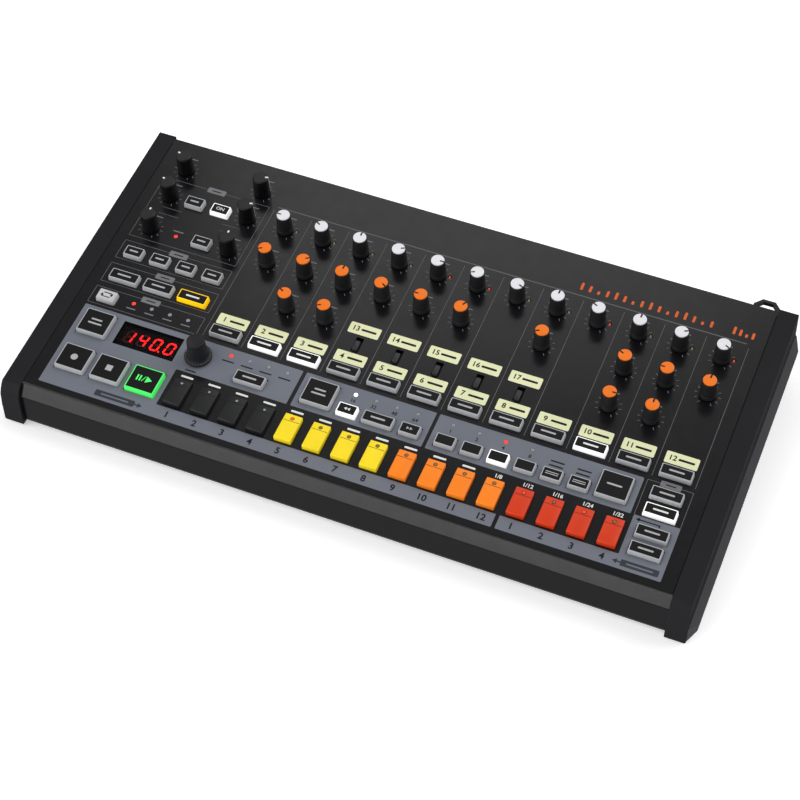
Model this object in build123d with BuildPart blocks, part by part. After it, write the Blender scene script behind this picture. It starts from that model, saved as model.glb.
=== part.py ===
from build123d import *
from math import cos, radians, sin
import os

# Desktop drum machine: a folded top panel on a folded tray, between two moulded cheeks.
# Millimetres. X runs along the machine, Y to its back and Z up from the table.
# A place on the sloping control panel is (u, v): u along X from the middle of the machine,
# v up the slope from the front edge of the cheeks. Heights over the panel are called h.

# ---- case
SLOPE = 5.5  # rise of the control panel towards the back, degrees
CASE_WIDTH = 459.0  # between the cheeks
CHEEK_WIDTH = 13.5  # flat top of a cheek
CHEEK_DEPTH = 246.2  # front to back
CHEEK_PROUD = 2.2  # how far the cheeks stand out behind the rear panel
FRONT_HEIGHT = 37.2  # front edge of the cheeks' tops over the table
NOSE_DEPTH = 4.8  # from the cheek's top edge forward to its upright front
NOSE_DROP = 9.8
NOSE_BULGE = 0.8  # how far the nose arcs out over its chord
NOSE_SHIFT = 0.35  # and out in front of it
CHEEK_LIFT = 1.5  # underside of the cheeks over the table
SEAM = 0.2  # between the panel or tray and a cheek
SHEET = 1.5  # top panel
TRAY_SHEET = 1.2
TRAY_LIFT = 2.3  # underside of the tray over the table
TRAY_FLANGE = 12.0  # folded in under the back of the panel
LAP_GAP = 0.3  # between the tray and what laps over it
BEND_RADIUS = 2.0  # outside of a bend in the sheet

# ---- front of the top panel
BEVEL_START = 3.2  # v of the bend
BEVEL_DROP = 10.0
BEVEL_REACH = 5.3
FRONT_FLANGE = 10.0

# ---- bulging rail along a cheek
WALL_DRAFT = 0.8  # the side wall leans out this far down to the rail
RAIL_DEPTH = 19.8  # from the cheek's top down to the rail
RAIL_REACH = 5.2  # how far the rail stands out of the wall
LEDGE_DROP = 3.2
RAIL_FACE = 7.0
RAIL_FACE_LEAN = 0.4
RAIL_TUCK = 5.0
RAIL_FRONT_V = -7.0  # where the front end of the rail leaves the wall
RAIL_FRONT_RUN = 8.5
RAIL_BACK_RUN = 12.5
CHEEK_WALL = 2.6
CHEEK_RIBS = 4
CHEEK_RIB = 1.6
TOP_ROUND = 1.2

# ---- stack below the panel
BOARD_DEPTH = 12.0  # panel surface to the top of the control board
BOARD = 1.6
BOARD_MARGIN = 5.0
FIT = 0.4  # a button, key or lamp in its hole

# ---- knobs
SHAFT_RADIUS = 3.0
SHAFT_TEETH = 18
SHAFT_HOLE = 3.6
KNOB_GAP = 0.8  # skirt over the panel
VOICE_KNOB_TOP = 16.9
VOICE_KNOB_RADIUS = 5.0
MAIN_KNOB_TOP = 18.8
MAIN_KNOB_RADIUS = 5.2
SKIRT_RADIUS = 6.0
SKIRT_HEIGHT = 3.0
SKIRT_LEAN = 0.25
MARK_WIDTH = 1.2
MARK_DEPTH = 0.4
MARK_INNER = 0.45  # share of the top's radius where the mark starts
POT_SIDE = 9.8
POT_HEIGHT = 7.6
POT_FLOOR = 1.5
END_GAP = 0.3
WHEEL_TOP = 18.5
WHEEL_RADIUS = 6.2
WHEEL_WAIST = 6.7
WHEEL_BASE_RADIUS = 9.6
WHEEL_BASE_HEIGHT = 1.6
WHEEL_FLARE = 5.0
WHEEL_SWEEP = 0.9
ENCODER_SIDE = 12.4

# ---- push buttons
BUTTON_TOP = 3.5
BUTTON_DRAFT = 0.4  # each side, over the part that stands out
BUTTON_RIM = 0.8
BUTTON_PAD = 0.25
BUTTON_STROKE = 1.2
FLANGE = 0.8
FLANGE_HEIGHT = 1.0
SMALL_BUTTON = (14.2, 9.2)
WIDE_BUTTON = (22.0, 9.2)
SELECT_BUTTON = (22.3, 9.0)
SQUARE_BUTTON = (22.0, 20.2)
STEM = 3.0
SWITCH_SIDE = 6.4
SWITCH_HEIGHT = 4.6
STEM_ENTRY = 0.8

# ---- step keys
KEY_WIDTH = 12.3
KEY_LENGTH = 21.0
KEY_FRONT_TOP = 4.5
KEY_CREASE = 3.3
KEY_CREASE_V = 15.5  # from the front of the key
KEY_BACK_TOP = 2.7
KEY_NOSE = 1.6
KEY_STROKE = 2.0
KEY_SKIRT = 3.2  # below the panel
LAMP_WELL = 1.4
LAMP_WELL_BOTTOM = 1.8
KEY_LAMP_V = 17.8

# ---- slide switches
SLOT = (5.4, 12.2)
LEVER = (3.6, 7.4)
LEVER_TOP = 2.5
LEVER_STROKE = 4.0
LEVER_STEM = 2.4
SLIDE_BODY = (8.0, 15.6)
SLIDE_HEIGHT = 7.6

# ---- lamps and display
LAMP_RADIUS = 1.1
LAMP_TOP = 0.4
WINDOW = (45.3, 19.8)
WINDOW_SHEET = 1.4
WINDOW_FIT = 0.15
DISPLAY = (50.3, 19.0)

# ---- rows of the panel, as v
LAYOUT = (459.0, 246.2)  # the case width and cheek depth that all places here are given for
STEP_ROW = 31.3
TRANSPORT_ROW = 32.4
EDIT_ROW = 58.5
DATA_ROW = 64.5
LAMP_ROW = 73.4
SELECT_ROW = 88.3
SYNC_ROW = 90.3
MODE_ROW = 107.9
SLIDE_ROW = 112.4
LOW_TONE_ROW = 124.6
SAVE_ROW = 130.2
TONE_ROW = 156.4
FX_ROW = 155.5
LEVEL_ROW = 188.2
ON_ROW = 187.3
TOP_ROW = 214.8
RIGHT_ROWS = (69.7, 56.2, 38.9, 25.6)

# ---- columns of the panel, as u
VOICE_COLUMN = -117.0
VOICE_PITCH = 29.24
VOICES = 12
STEP_COLUMN = -126.0
STEP_PITCH = 20.34
STEPS_PER_COLOUR = 4
LEFT_COLUMN = -207.9
MODE_COLUMN = -204.2
MODE_PITCH = 26.55
MAIN_COLUMNS = (-207.9, -146.9)
DISPLAY_COLUMN = -164.5
DATA_COLUMN = -126.4
DATA_BUTTON = -85.2
SCROLL_BUTTON = -36.5
BACK_BUTTON = -13.9
LENGTH_BUTTON = 8.3
NEXT_BUTTON = 30.95
PAGE_COLUMN = 55.9
PAGE_PITCH = 18.5
TRIGGER_BUTTON = 170.4
RIGHT_COLUMN = 204.0
SYNC_LAMP = -188.5
DATA_LAMP = -105.9
LAMP_PITCH = 13.95
FX_LAMP = -187.7
LENGTH_LAMP_PITCH = 14.9
VOICE_LAMP_U = 8.2  # from the middle of a level knob
VOICE_LAMP_V = 1.3

# Where each mark points at rest, in degrees clockwise from the back of the machine.
LEVEL_MARKS = (-90, -62, 0, 62, 90, -113, 112, 0, -63, 0, 62, 118)
TONE_MARKS = (-120, 57, 0, 120, -90, 30, -117, -63, -90, 0)
LOW_TONE_MARKS = (-60, -116, 90, 0)
MAIN_MARKS = (0, 0, -73, 73, -68, 74)
TONE_VOICES = (0, 1, 2, 3, 4, 5, 7, 9, 10, 11)
LOW_TONE_VOICES = (1, 2, 9, 10)
SLIDE_VOICES = (3, 4, 5, 6, 7)

# ---- rear panel
SOCKET_LINE = 22.0  # height of the sockets' axes over the table
JACK_BOARD_TOP = 14.6
JACK_BOARD_DEPTH = 34.0
AUDIO_JACKS = 13
AUDIO_COLUMN = -214.0
AUDIO_PITCH = 17.0
AUDIO_BORE = 3.2
AUDIO_BUSH = 4.9
AUDIO_BODY = (13.0, 26.0, 12.4)
AUDIO_NUT = 6.6
NUT_HEIGHT = 2.0
MINI_JACKS = 5
MINI_COLUMN = 8.0
MINI_PITCH = 12.0
MINI_BORE = 1.8
MINI_BUSH = 2.9
MINI_BODY = (9.0, 13.0, 10.0)
MINI_NUT = 4.2
MIDI_SOCKETS = 3
MIDI_COLUMN = 77.0
MIDI_PITCH = 23.0
MIDI_BODY = (19.6, 13.0, 17.0)
MIDI_BOSS = 7.6
MIDI_RING = 6.9
MIDI_CORE = 5.9
MIDI_PIN_CIRCLE = 3.8
MIDI_PIN = 0.8
MIDI_PIN_SIDES = 8
MIDI_PINS = 5
MIDI_DEPTH = 8.0
CORE_GAP = 0.2  # round the core that stands in a socket
CORE_FOOT = 1.2
USB_COLUMN = 147.0
USB_SHELL = (12.0, 16.0, 10.8)
USB_MOUTH = (8.5, 7.8)
USB_TONGUE = (5.6, 3.2)
USB_DEPTH = 8.0
INLET_COLUMN = 193.0
INLET_BODY = (9.6, 14.0, 11.0)
INLET_BORE = 3.1
INLET_PIN = 1.0
INLET_DEPTH = 11.0
SWITCH_COLUMN = 170.0
SWITCH_LINE = 28.0
SWITCH_BODY = (13.0, 15.0, 21.0)
SWITCH_BEZEL = (15.4, 1.4, 23.4)
SWITCH_WELL = 10.5
ROCKER = (9.8, 14.8)
ROCKER_TILT = 9.0
ROCKER_PIVOT = 2.0  # behind the face of the rear panel
ROCKER_FACE = 4.4  # the ends of the rocker, out from its pivot
ROCKER_DISH = 1.2
ROCKER_KEEL = 3.2
ROCKER_RUN = 0.6  # beside the rocker
ROCKER_PIN = 1.2
ROCKER_PIN_REACH = 0.3
ROCKER_SWING = 2.0  # over and under the rocker
SOCKET_FIT = 0.2
HOLE_FIT = 0.15
HOOK_SIDE = 0.6  # between the hook and the right cheek
HOOK_REACH = 21.0
HOOK_WIDTH = 19.2
HOOK_NOSE = 9.0
HOOK_CORNER = 15.0
HOOK_BAR = 2.5
HOOK_HEIGHT = 3.0
HOOK_LINE = 45.0
HOOK_FOOT = 1.4

# ---- feet, screws and stand-offs
FOOT_RADIUS = 8.0
FOOT_INSET = (24.5, 24.5, 19.5)  # from the sides, the front and the rear panel
SCREW_HEAD = 2.8
SCREW_HEAD_HEIGHT = 1.0
SCREW_SHANK = 1.4
SCREW_LENGTH = 4.0
SCREW_FIT = 0.3
FRONT_SCREWS = 5
FRONT_SCREW_PITCH = 104.0
FRONT_SCREW_INSET = 5.5  # from the upright front
SIDE_SCREW_SHARES = (0.15, 0.54, 0.91)  # of the depth of a cheek
SIDE_SCREW_LINE = 12.0
SIDE_WALL_HEIGHT = 18.0
SIDE_WALL_INSET = 20.0  # from the front and back of a cheek
SIDE_BOSS = 3.5
STANDOFF_RADIUS = 3.5
STANDOFF_COLUMNS = (-200.0, 0.0, 200.0)
STANDOFF_ROWS = (45.0, 175.0)
JACK_POSTS = 5
JACK_POST_PITCH = 102.0

# ---- derived places
FRONT_Y = -(CHEEK_DEPTH - CHEEK_PROUD + HOOK_REACH) / 2
REAR_Y = FRONT_Y + CHEEK_DEPTH - CHEEK_PROUD
PANEL_Y = FRONT_Y + NOSE_DEPTH
RUN = cos(radians(SLOPE))
RISE = sin(radians(SLOPE))
PANEL_LENGTH = (REAR_Y - PANEL_Y) / RUN
HALF_CASE = CASE_WIDTH / 2
PANEL = Plane(origin=(0, PANEL_Y, FRONT_HEIGHT), x_dir=(1, 0, 0), z_dir=(0, -RISE, RUN))
ACROSS = Plane(origin=PANEL.origin, x_dir=(1, 0, 0), z_dir=(0, -RUN, -RISE))
REAR = Plane(origin=(0, REAR_Y, 0), x_dir=(-1, 0, 0), z_dir=(0, 1, 0))
TRAY_TOP = TRAY_LIFT + TRAY_SHEET
SKIRT_FOOT = -SHEET - FIT  # h of the shoulder that keeps a button in its hole
BOARD_TOP = -BOARD_DEPTH
WIDTH_SHARE = CASE_WIDTH / LAYOUT[0]
DEPTH_SHARE = CHEEK_DEPTH / LAYOUT[1]
USB_X = USB_COLUMN * WIDTH_SHARE
INLET_X = INLET_COLUMN * WIDTH_SHARE
SWITCH_X = SWITCH_COLUMN * WIDTH_SHARE
HOOK_X = HALF_CASE - HOOK_WIDTH / 2 - HOOK_SIDE


def on_slope(v, h=0.0):
    """Returns (y, z) of a place v up the slope and h over the panel."""
    return (PANEL_Y + v * RUN - h * RISE, FRONT_HEIGHT + v * RISE + h * RUN)


def place(u, v):
    """Returns a place of the layout, moved with the size of the case."""
    return (u * WIDTH_SHARE, v * DEPTH_SHARE)


def row(first, pitch, count, v):
    """Returns evenly spaced places along one row of the panel."""
    return [place(first + pitch * i, v) for i in range(count)]


def voice(index, v):
    """Returns the place on row v in the column of one voice."""
    return place(VOICE_COLUMN + VOICE_PITCH * index, v)


def columns(first, pitch, count):
    """Returns evenly spaced places along X for the sockets and screws of the case."""
    return [(first + pitch * i) * WIDTH_SHARE for i in range(count)]


def side_plane(u):
    """Returns the upright plane across column u: its x runs up the slope, its y off the panel."""
    return Plane(origin=PANEL.from_local_coords((u, 0, 0)), x_dir=(0, RUN, RISE), z_dir=(1, 0, 0))


def knob_plane(u, v):
    """Returns the plane through a knob's axis: its x runs along X, its y off the panel."""
    return Plane(origin=PANEL.from_local_coords((u, v, 0)), x_dir=(1, 0, 0), z_dir=(0, -RUN, -RISE))


def spun(plane, angle):
    """Returns a plane turned anticlockwise about its own normal."""
    return Plane(plane.location * Rotation(0, 0, angle))


def save(builder, name):
    """Labels a finished piece and writes it."""
    builder.part.label = name
    export_step(builder.part, f"parts/{name}.step")


os.makedirs("parts", exist_ok=True)

LEVEL_SPOTS = [voice(i, LEVEL_ROW) for i in range(VOICES)]
TONE_SPOTS = [voice(i, TONE_ROW) for i in TONE_VOICES] + [voice(i, LOW_TONE_ROW) for i in LOW_TONE_VOICES]
MAIN_SPOTS = [place(u, v) for v in (TONE_ROW, LEVEL_ROW, TOP_ROW) for u in MAIN_COLUMNS]
POT_SPOTS = LEVEL_SPOTS + TONE_SPOTS + MAIN_SPOTS
WHEEL_SPOT = place(DATA_COLUMN, DATA_ROW)
DISPLAY_SPOT = place(DISPLAY_COLUMN, DATA_ROW)
STEP_SPOTS = row(STEP_COLUMN, STEP_PITCH, 4 * STEPS_PER_COLOUR, STEP_ROW)
SELECT_SPOTS = [voice(i, SELECT_ROW) for i in range(VOICES)]
SLIDE_SPOTS = [voice(i, SLIDE_ROW) for i in SLIDE_VOICES]
SMALL_SPOTS = (
    row(LEFT_COLUMN, STEP_PITCH, 4, SAVE_ROW)
    + row(LEFT_COLUMN + STEP_PITCH, STEP_PITCH, 2, ON_ROW)
    + [place(LEFT_COLUMN + 2 * STEP_PITCH, FX_ROW), place(LEFT_COLUMN, SELECT_ROW)]
    + [place(BACK_BUTTON, EDIT_ROW), place(NEXT_BUTTON, EDIT_ROW)]
    + row(PAGE_COLUMN, PAGE_PITCH, 6, EDIT_ROW)
)
WIDE_SPOTS = (
    row(MODE_COLUMN, MODE_PITCH, 3, MODE_ROW)
    + [place(DATA_BUTTON, EDIT_ROW), place(LENGTH_BUTTON, EDIT_ROW)]
    + [place(RIGHT_COLUMN, v) for v in RIGHT_ROWS]
)
SQUARE_SPOTS = row(MODE_COLUMN, MODE_PITCH, 3, TRANSPORT_ROW) + [
    place(MODE_COLUMN, DATA_ROW),
    place(SCROLL_BUTTON, DATA_ROW),
    place(TRIGGER_BUTTON, DATA_ROW),
]
LAMP_SPOTS = (
    row(SYNC_LAMP, LAMP_PITCH, 4, SYNC_ROW)
    + [place(FX_LAMP, FX_ROW)]
    + row(DATA_LAMP, LAMP_PITCH, 4, LAMP_ROW)
    + row(BACK_BUTTON, LENGTH_LAMP_PITCH, 4, LAMP_ROW)
    + row(PAGE_COLUMN, PAGE_PITCH, 4, LAMP_ROW)
    + [(u + VOICE_LAMP_U, v + VOICE_LAMP_V) for u, v in LEVEL_SPOTS]
)
BUTTON_SETS = (
    ("small_buttons", SMALL_SPOTS, SMALL_BUTTON),
    ("wide_buttons", WIDE_SPOTS, WIDE_BUTTON),
    ("select_buttons", SELECT_SPOTS, SELECT_BUTTON),
    ("square_buttons", SQUARE_SPOTS, SQUARE_BUTTON),
)
FRONT_SCREW_COLUMNS = columns(-FRONT_SCREW_PITCH * (FRONT_SCREWS - 1) / 2, FRONT_SCREW_PITCH, FRONT_SCREWS)
POST_COLUMNS = columns(-JACK_POST_PITCH * (JACK_POSTS - 1) / 2, JACK_POST_PITCH, JACK_POSTS)
AUDIO_SPOTS = columns(AUDIO_COLUMN, AUDIO_PITCH, AUDIO_JACKS)
MINI_SPOTS = columns(MINI_COLUMN, MINI_PITCH, MINI_JACKS)
MIDI_SPOTS = columns(MIDI_COLUMN, MIDI_PITCH, MIDI_SOCKETS)
SIDE_SCREWS = [(FRONT_Y + share * CHEEK_DEPTH, SIDE_SCREW_LINE) for share in SIDE_SCREW_SHARES]
FOOT_SPOTS = [
    (side * (HALF_CASE - FOOT_INSET[0]), y)
    for side in (-1, 1)
    for y in (FRONT_Y + FOOT_INSET[1], REAR_Y - FOOT_INSET[2])
]


# ---- top panel: one sheet, folded at the front into a bevel, an upright front and a flange
BEVEL_START_Y, BEVEL_START_Z = on_slope(BEVEL_START)
PANEL_FRONT_Y = BEVEL_START_Y - BEVEL_REACH
PANEL_FOOT_Z = TRAY_TOP + LAP_GAP
FLANGE_Y = PANEL_FRONT_Y + FRONT_FLANGE
FRONT_SCREW_Y = PANEL_FRONT_Y + FRONT_SCREW_INSET

with BuildPart() as top_panel:
    with BuildSketch(Plane.YZ.offset(SEAM - HALF_CASE)):
        with BuildLine():
            FilletPolyline(
                on_slope(PANEL_LENGTH),
                (BEVEL_START_Y, BEVEL_START_Z),
                (PANEL_FRONT_Y, BEVEL_START_Z - BEVEL_DROP),
                (PANEL_FRONT_Y, PANEL_FOOT_Z),
                (FLANGE_Y, PANEL_FOOT_Z),
                radius=BEND_RADIUS,
            )
            offset(amount=SHEET, side=Side.LEFT)
        make_face()
    extrude(amount=CASE_WIDTH - 2 * SEAM)
    with BuildSketch(PANEL):
        with Locations(*POT_SPOTS, WHEEL_SPOT):
            Circle(SHAFT_HOLE)
        with Locations(*LAMP_SPOTS):
            Circle(LAMP_RADIUS + FIT)
        for _, spots, (width, length) in BUTTON_SETS:
            with Locations(*spots):
                Rectangle(width + 2 * FIT, length + 2 * FIT)
        with Locations(*STEP_SPOTS):
            Rectangle(KEY_WIDTH + 2 * FIT, KEY_LENGTH + 2 * FIT)
        with Locations(*SLIDE_SPOTS):
            Rectangle(*SLOT)
        with Locations(DISPLAY_SPOT):
            Rectangle(WINDOW[0] + 2 * WINDOW_FIT, WINDOW[1] + 2 * WINDOW_FIT)
    extrude(amount=-2 * SHEET, mode=Mode.SUBTRACT)
    with BuildSketch(Plane.XY.offset(PANEL_FOOT_Z)):
        with Locations(*[(x, FRONT_SCREW_Y) for x in FRONT_SCREW_COLUMNS]):
            Circle(SCREW_SHANK + SCREW_FIT)
    extrude(amount=SHEET, mode=Mode.SUBTRACT)
save(top_panel, "top_panel")

# ---- tray: bottom, rear panel, side walls and stand-offs
TRAY_FRONT_Y = PANEL_FRONT_Y + SHEET

with BuildPart() as chassis_tray:
    with BuildSketch(Plane.YZ.offset(SEAM - HALF_CASE)):
        with BuildLine():
            FilletPolyline(
                (TRAY_FRONT_Y, TRAY_LIFT),
                (REAR_Y, TRAY_LIFT),
                on_slope(PANEL_LENGTH - SHEET * RISE / RUN, -SHEET),
                on_slope(PANEL_LENGTH - TRAY_FLANGE, -SHEET),
                radius=BEND_RADIUS,
            )
            offset(amount=TRAY_SHEET, side=Side.LEFT)
        make_face()
    extrude(amount=CASE_WIDTH - 2 * SEAM)
    with BuildSketch(Plane.XY.offset(TRAY_TOP)):
        for side in (-1, 1):
            with Locations((side * (HALF_CASE - SEAM - TRAY_SHEET / 2), 0)):
                Rectangle(TRAY_SHEET, CHEEK_DEPTH - 2 * SIDE_WALL_INSET)
    extrude(amount=SIDE_WALL_HEIGHT)
    with BuildSketch(PANEL.offset(BOARD_TOP - BOARD)):
        with Locations(*[place(u, v) for u in STANDOFF_COLUMNS for v in STANDOFF_ROWS]):
            Circle(STANDOFF_RADIUS)
    extrude(amount=-2 * FRONT_HEIGHT)
    with BuildSketch(Plane.XY.offset(TRAY_TOP)):
        with Locations(*[(x, REAR_Y - JACK_BOARD_DEPTH) for x in POST_COLUMNS]):
            Circle(STANDOFF_RADIUS)
    extrude(amount=JACK_BOARD_TOP - BOARD - TRAY_TOP)
    split(bisect_by=Plane.XY.offset(TRAY_LIFT), keep=Keep.TOP)
    with BuildSketch(REAR):
        with Locations(*[(-x, SOCKET_LINE) for x in AUDIO_SPOTS]):
            Circle(AUDIO_BUSH + SOCKET_FIT)
        with Locations(*[(-x, SOCKET_LINE) for x in MINI_SPOTS]):
            Circle(MINI_BUSH + SOCKET_FIT)
        with Locations(*[(-x, SOCKET_LINE) for x in MIDI_SPOTS]):
            Circle(MIDI_BOSS + SOCKET_FIT)
        with Locations((-USB_X, SOCKET_LINE)):
            Rectangle(USB_SHELL[0] + 2 * SOCKET_FIT, USB_SHELL[2] + 2 * SOCKET_FIT)
        with Locations((-INLET_X, SOCKET_LINE)):
            Circle(INLET_BORE + 2 * SOCKET_FIT)
        with Locations((-SWITCH_X, SWITCH_LINE)):
            Rectangle(SWITCH_BODY[0] + 2 * SOCKET_FIT, SWITCH_BODY[2] + 2 * SOCKET_FIT)
    extrude(amount=-2 * TRAY_SHEET, mode=Mode.SUBTRACT)
    with BuildSketch(Plane.XY.offset(TRAY_LIFT)):
        with Locations(*[(x, FRONT_SCREW_Y) for x in FRONT_SCREW_COLUMNS]):
            Circle(SCREW_SHANK + SCREW_FIT)
    extrude(amount=TRAY_SHEET, mode=Mode.SUBTRACT)
    with BuildSketch(Plane.YZ.offset(-HALF_CASE)):
        with Locations(*SIDE_SCREWS):
            Circle(SCREW_SHANK + SCREW_FIT)
    extrude(amount=CASE_WIDTH, mode=Mode.SUBTRACT)
save(chassis_tray, "chassis_tray")

# ---- cheeks: a flat top, a nose that arcs into the upright front and a rail along the side
CHEEK_OUTER = HALF_CASE + CHEEK_WIDTH
WALL_FOOT = CHEEK_OUTER + WALL_DRAFT
RAIL_OUTER = WALL_FOOT + RAIL_REACH
CHEEK_BACK_Y = REAR_Y + CHEEK_PROUD
CHEEK_BACK_V = (CHEEK_BACK_Y - PANEL_Y) / RUN
CHEEK_LENGTH = CHEEK_BACK_V + 2 * NOSE_DEPTH
RAIL_FOOT = RAIL_DEPTH + LEDGE_DROP + RAIL_FACE + RAIL_TUCK
BELOW = FRONT_HEIGHT + CHEEK_DEPTH * RISE
NOSE_MIDDLE = (
    PANEL_Y - NOSE_DEPTH / 2 - NOSE_SHIFT,
    FRONT_HEIGHT - NOSE_DROP / 2 + NOSE_BULGE,
)


def cheek_outline(inset=0.0):
    """Returns the sketch of a cheek's side view on its inner face, shrunk by inset."""
    nose_top = (PANEL_Y, FRONT_HEIGHT)
    nose_foot = (FRONT_Y, FRONT_HEIGHT - NOSE_DROP)
    with BuildSketch(Plane.YZ.offset(HALF_CASE)) as outline:
        with BuildLine():
            ThreePointArc(nose_top, NOSE_MIDDLE, nose_foot)
            Polyline(
                nose_foot,
                (FRONT_Y, CHEEK_LIFT),
                (CHEEK_BACK_Y, CHEEK_LIFT),
                on_slope(CHEEK_BACK_V),
                nose_top,
            )
        make_face()
        if inset:
            offset(amount=-inset, kind=Kind.INTERSECTION, mode=Mode.REPLACE)
    return outline


with BuildPart() as right_cheek:
    with BuildSketch(ACROSS.offset(2 * NOSE_DEPTH)):
        with BuildLine():
            Polyline(
                (HALF_CASE, 0),
                (CHEEK_OUTER, 0),
                (WALL_FOOT, -RAIL_DEPTH),
                (RAIL_OUTER, -RAIL_DEPTH - LEDGE_DROP),
                (RAIL_OUTER - RAIL_FACE_LEAN, -RAIL_DEPTH - LEDGE_DROP - RAIL_FACE),
                (CHEEK_OUTER, -RAIL_FOOT),
                (CHEEK_OUTER, -BELOW),
                (HALF_CASE, -BELOW),
                close=True,
            )
        make_face()
    extrude(amount=-CHEEK_LENGTH - 2 * NOSE_DEPTH)
    extrude(cheek_outline().sketch, amount=2 * CHEEK_WIDTH, mode=Mode.INTERSECT)
    with BuildSketch(PANEL.offset(SHEET)):
        with BuildLine():
            Polyline(
                (HALF_CASE, -2 * NOSE_DEPTH),
                (WALL_FOOT, -2 * NOSE_DEPTH),
                (WALL_FOOT, RAIL_FRONT_V),
                (RAIL_OUTER, RAIL_FRONT_V + RAIL_FRONT_RUN),
                (RAIL_OUTER, CHEEK_BACK_V - RAIL_BACK_RUN),
                (WALL_FOOT, CHEEK_BACK_V),
                (WALL_FOOT, CHEEK_BACK_V + 2 * NOSE_DEPTH),
                (HALF_CASE, CHEEK_BACK_V + 2 * NOSE_DEPTH),
                close=True,
            )
        make_face()
    extrude(amount=-2 * BELOW, mode=Mode.INTERSECT)
    with BuildSketch(Plane.YZ.offset(HALF_CASE)):
        add(cheek_outline(inset=CHEEK_WALL).sketch_local)
        with Locations(*SIDE_SCREWS):
            Circle(SIDE_BOSS, mode=Mode.SUBTRACT)
        for i in range(CHEEK_RIBS):
            with Locations((FRONT_Y + CHEEK_DEPTH * (i + 1) / (CHEEK_RIBS + 1), 0)):
                Rectangle(CHEEK_RIB, 4 * FRONT_HEIGHT, mode=Mode.SUBTRACT)
    extrude(amount=CHEEK_WIDTH - CHEEK_WALL, mode=Mode.SUBTRACT)
    with BuildSketch(Plane.YZ.offset(HALF_CASE)):
        with Locations(*SIDE_SCREWS):
            Circle(SCREW_SHANK + SCREW_FIT)
    extrude(amount=SCREW_LENGTH, mode=Mode.SUBTRACT)
    top_edges = right_cheek.edges().filter_by(Axis(PANEL.origin, (0, RUN, RISE))).group_by(Axis.Z)[-1]
    fillet(top_edges.sort_by(Axis.X)[-1], TOP_ROUND)
save(right_cheek, "right_cheek")

with BuildPart() as left_cheek:
    add(right_cheek.part)
    mirror(about=Plane.YZ, mode=Mode.REPLACE)
save(left_cheek, "left_cheek")


# ---- boards
with BuildPart() as circuit_boards:
    with BuildSketch(PANEL.offset(BOARD_TOP)):
        with Locations((0, PANEL_LENGTH / 2)):
            Rectangle(CASE_WIDTH - 4 * BOARD_MARGIN, PANEL_LENGTH - 6 * BOARD_MARGIN)
    extrude(amount=-BOARD)
    with BuildSketch(Plane.XY.offset(JACK_BOARD_TOP)):
        with Locations((0, REAR_Y - TRAY_SHEET - JACK_BOARD_DEPTH / 2 - FIT)):
            Rectangle(CASE_WIDTH - 4 * BOARD_MARGIN, JACK_BOARD_DEPTH)
    extrude(amount=-BOARD)
save(circuit_boards, "circuit_boards")


def wells(spots, side, height, floor, well):
    """Adds square housings on the board, each with a round or square well from its top."""
    with BuildSketch(PANEL.offset(BOARD_TOP)) as housings:
        with Locations(*spots):
            Rectangle(*side)
    extrude(housings.sketch, amount=height)
    with BuildSketch(PANEL.offset(BOARD_TOP + floor)) as holes:
        with Locations(*spots):
            well()
    extrude(holes.sketch, amount=height, mode=Mode.SUBTRACT)


def shaft_well():
    """Draws the hole that a knob's shaft turns in."""
    Circle(SHAFT_RADIUS + FIT)


def stem_well():
    """Draws the hole that a button's stem moves in."""
    Rectangle(STEM + 2 * FIT, STEM + 2 * FIT)


def lever_well():
    """Draws the slot that a slide lever's stem moves in."""
    Rectangle(LEVER_STEM + 2 * FIT, LEVER_STEM + LEVER_STROKE + 2 * FIT)


def stem_floor(stroke):
    """Returns how deep into its housing a key switch's well goes, over the board."""
    return SWITCH_HEIGHT - STEM_ENTRY - stroke - END_GAP


with BuildPart() as panel_controls:
    wells(POT_SPOTS, (POT_SIDE, POT_SIDE), POT_HEIGHT, POT_FLOOR, shaft_well)
    wells([WHEEL_SPOT], (ENCODER_SIDE, ENCODER_SIDE), POT_HEIGHT, POT_FLOOR, shaft_well)
    for _, spots, _ in BUTTON_SETS:
        wells(spots, (SWITCH_SIDE, SWITCH_SIDE), SWITCH_HEIGHT, stem_floor(BUTTON_STROKE), stem_well)
    wells(STEP_SPOTS, (SWITCH_SIDE, SWITCH_SIDE), SWITCH_HEIGHT, stem_floor(KEY_STROKE), stem_well)
    wells(
        SLIDE_SPOTS,
        SLIDE_BODY,
        SLIDE_HEIGHT,
        POT_FLOOR,
        lever_well,
    )
save(panel_controls, "panel_controls")


# ---- knobs: a skirt, a tapered grip with a mark at its rim, and the shaft that it turns
SHAFT_END = BOARD_TOP + POT_FLOOR + END_GAP


def shaft(u, v):
    """Adds a toothed shaft from a pot's floor up into the knob at (u, v)."""
    with BuildSketch(PANEL.offset(SHAFT_END)) as teeth:
        with Locations((u, v)):
            RegularPolygon(SHAFT_RADIUS, SHAFT_TEETH)
    extrude(teeth.sketch, amount=KNOB_GAP - SHAFT_END)


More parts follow.
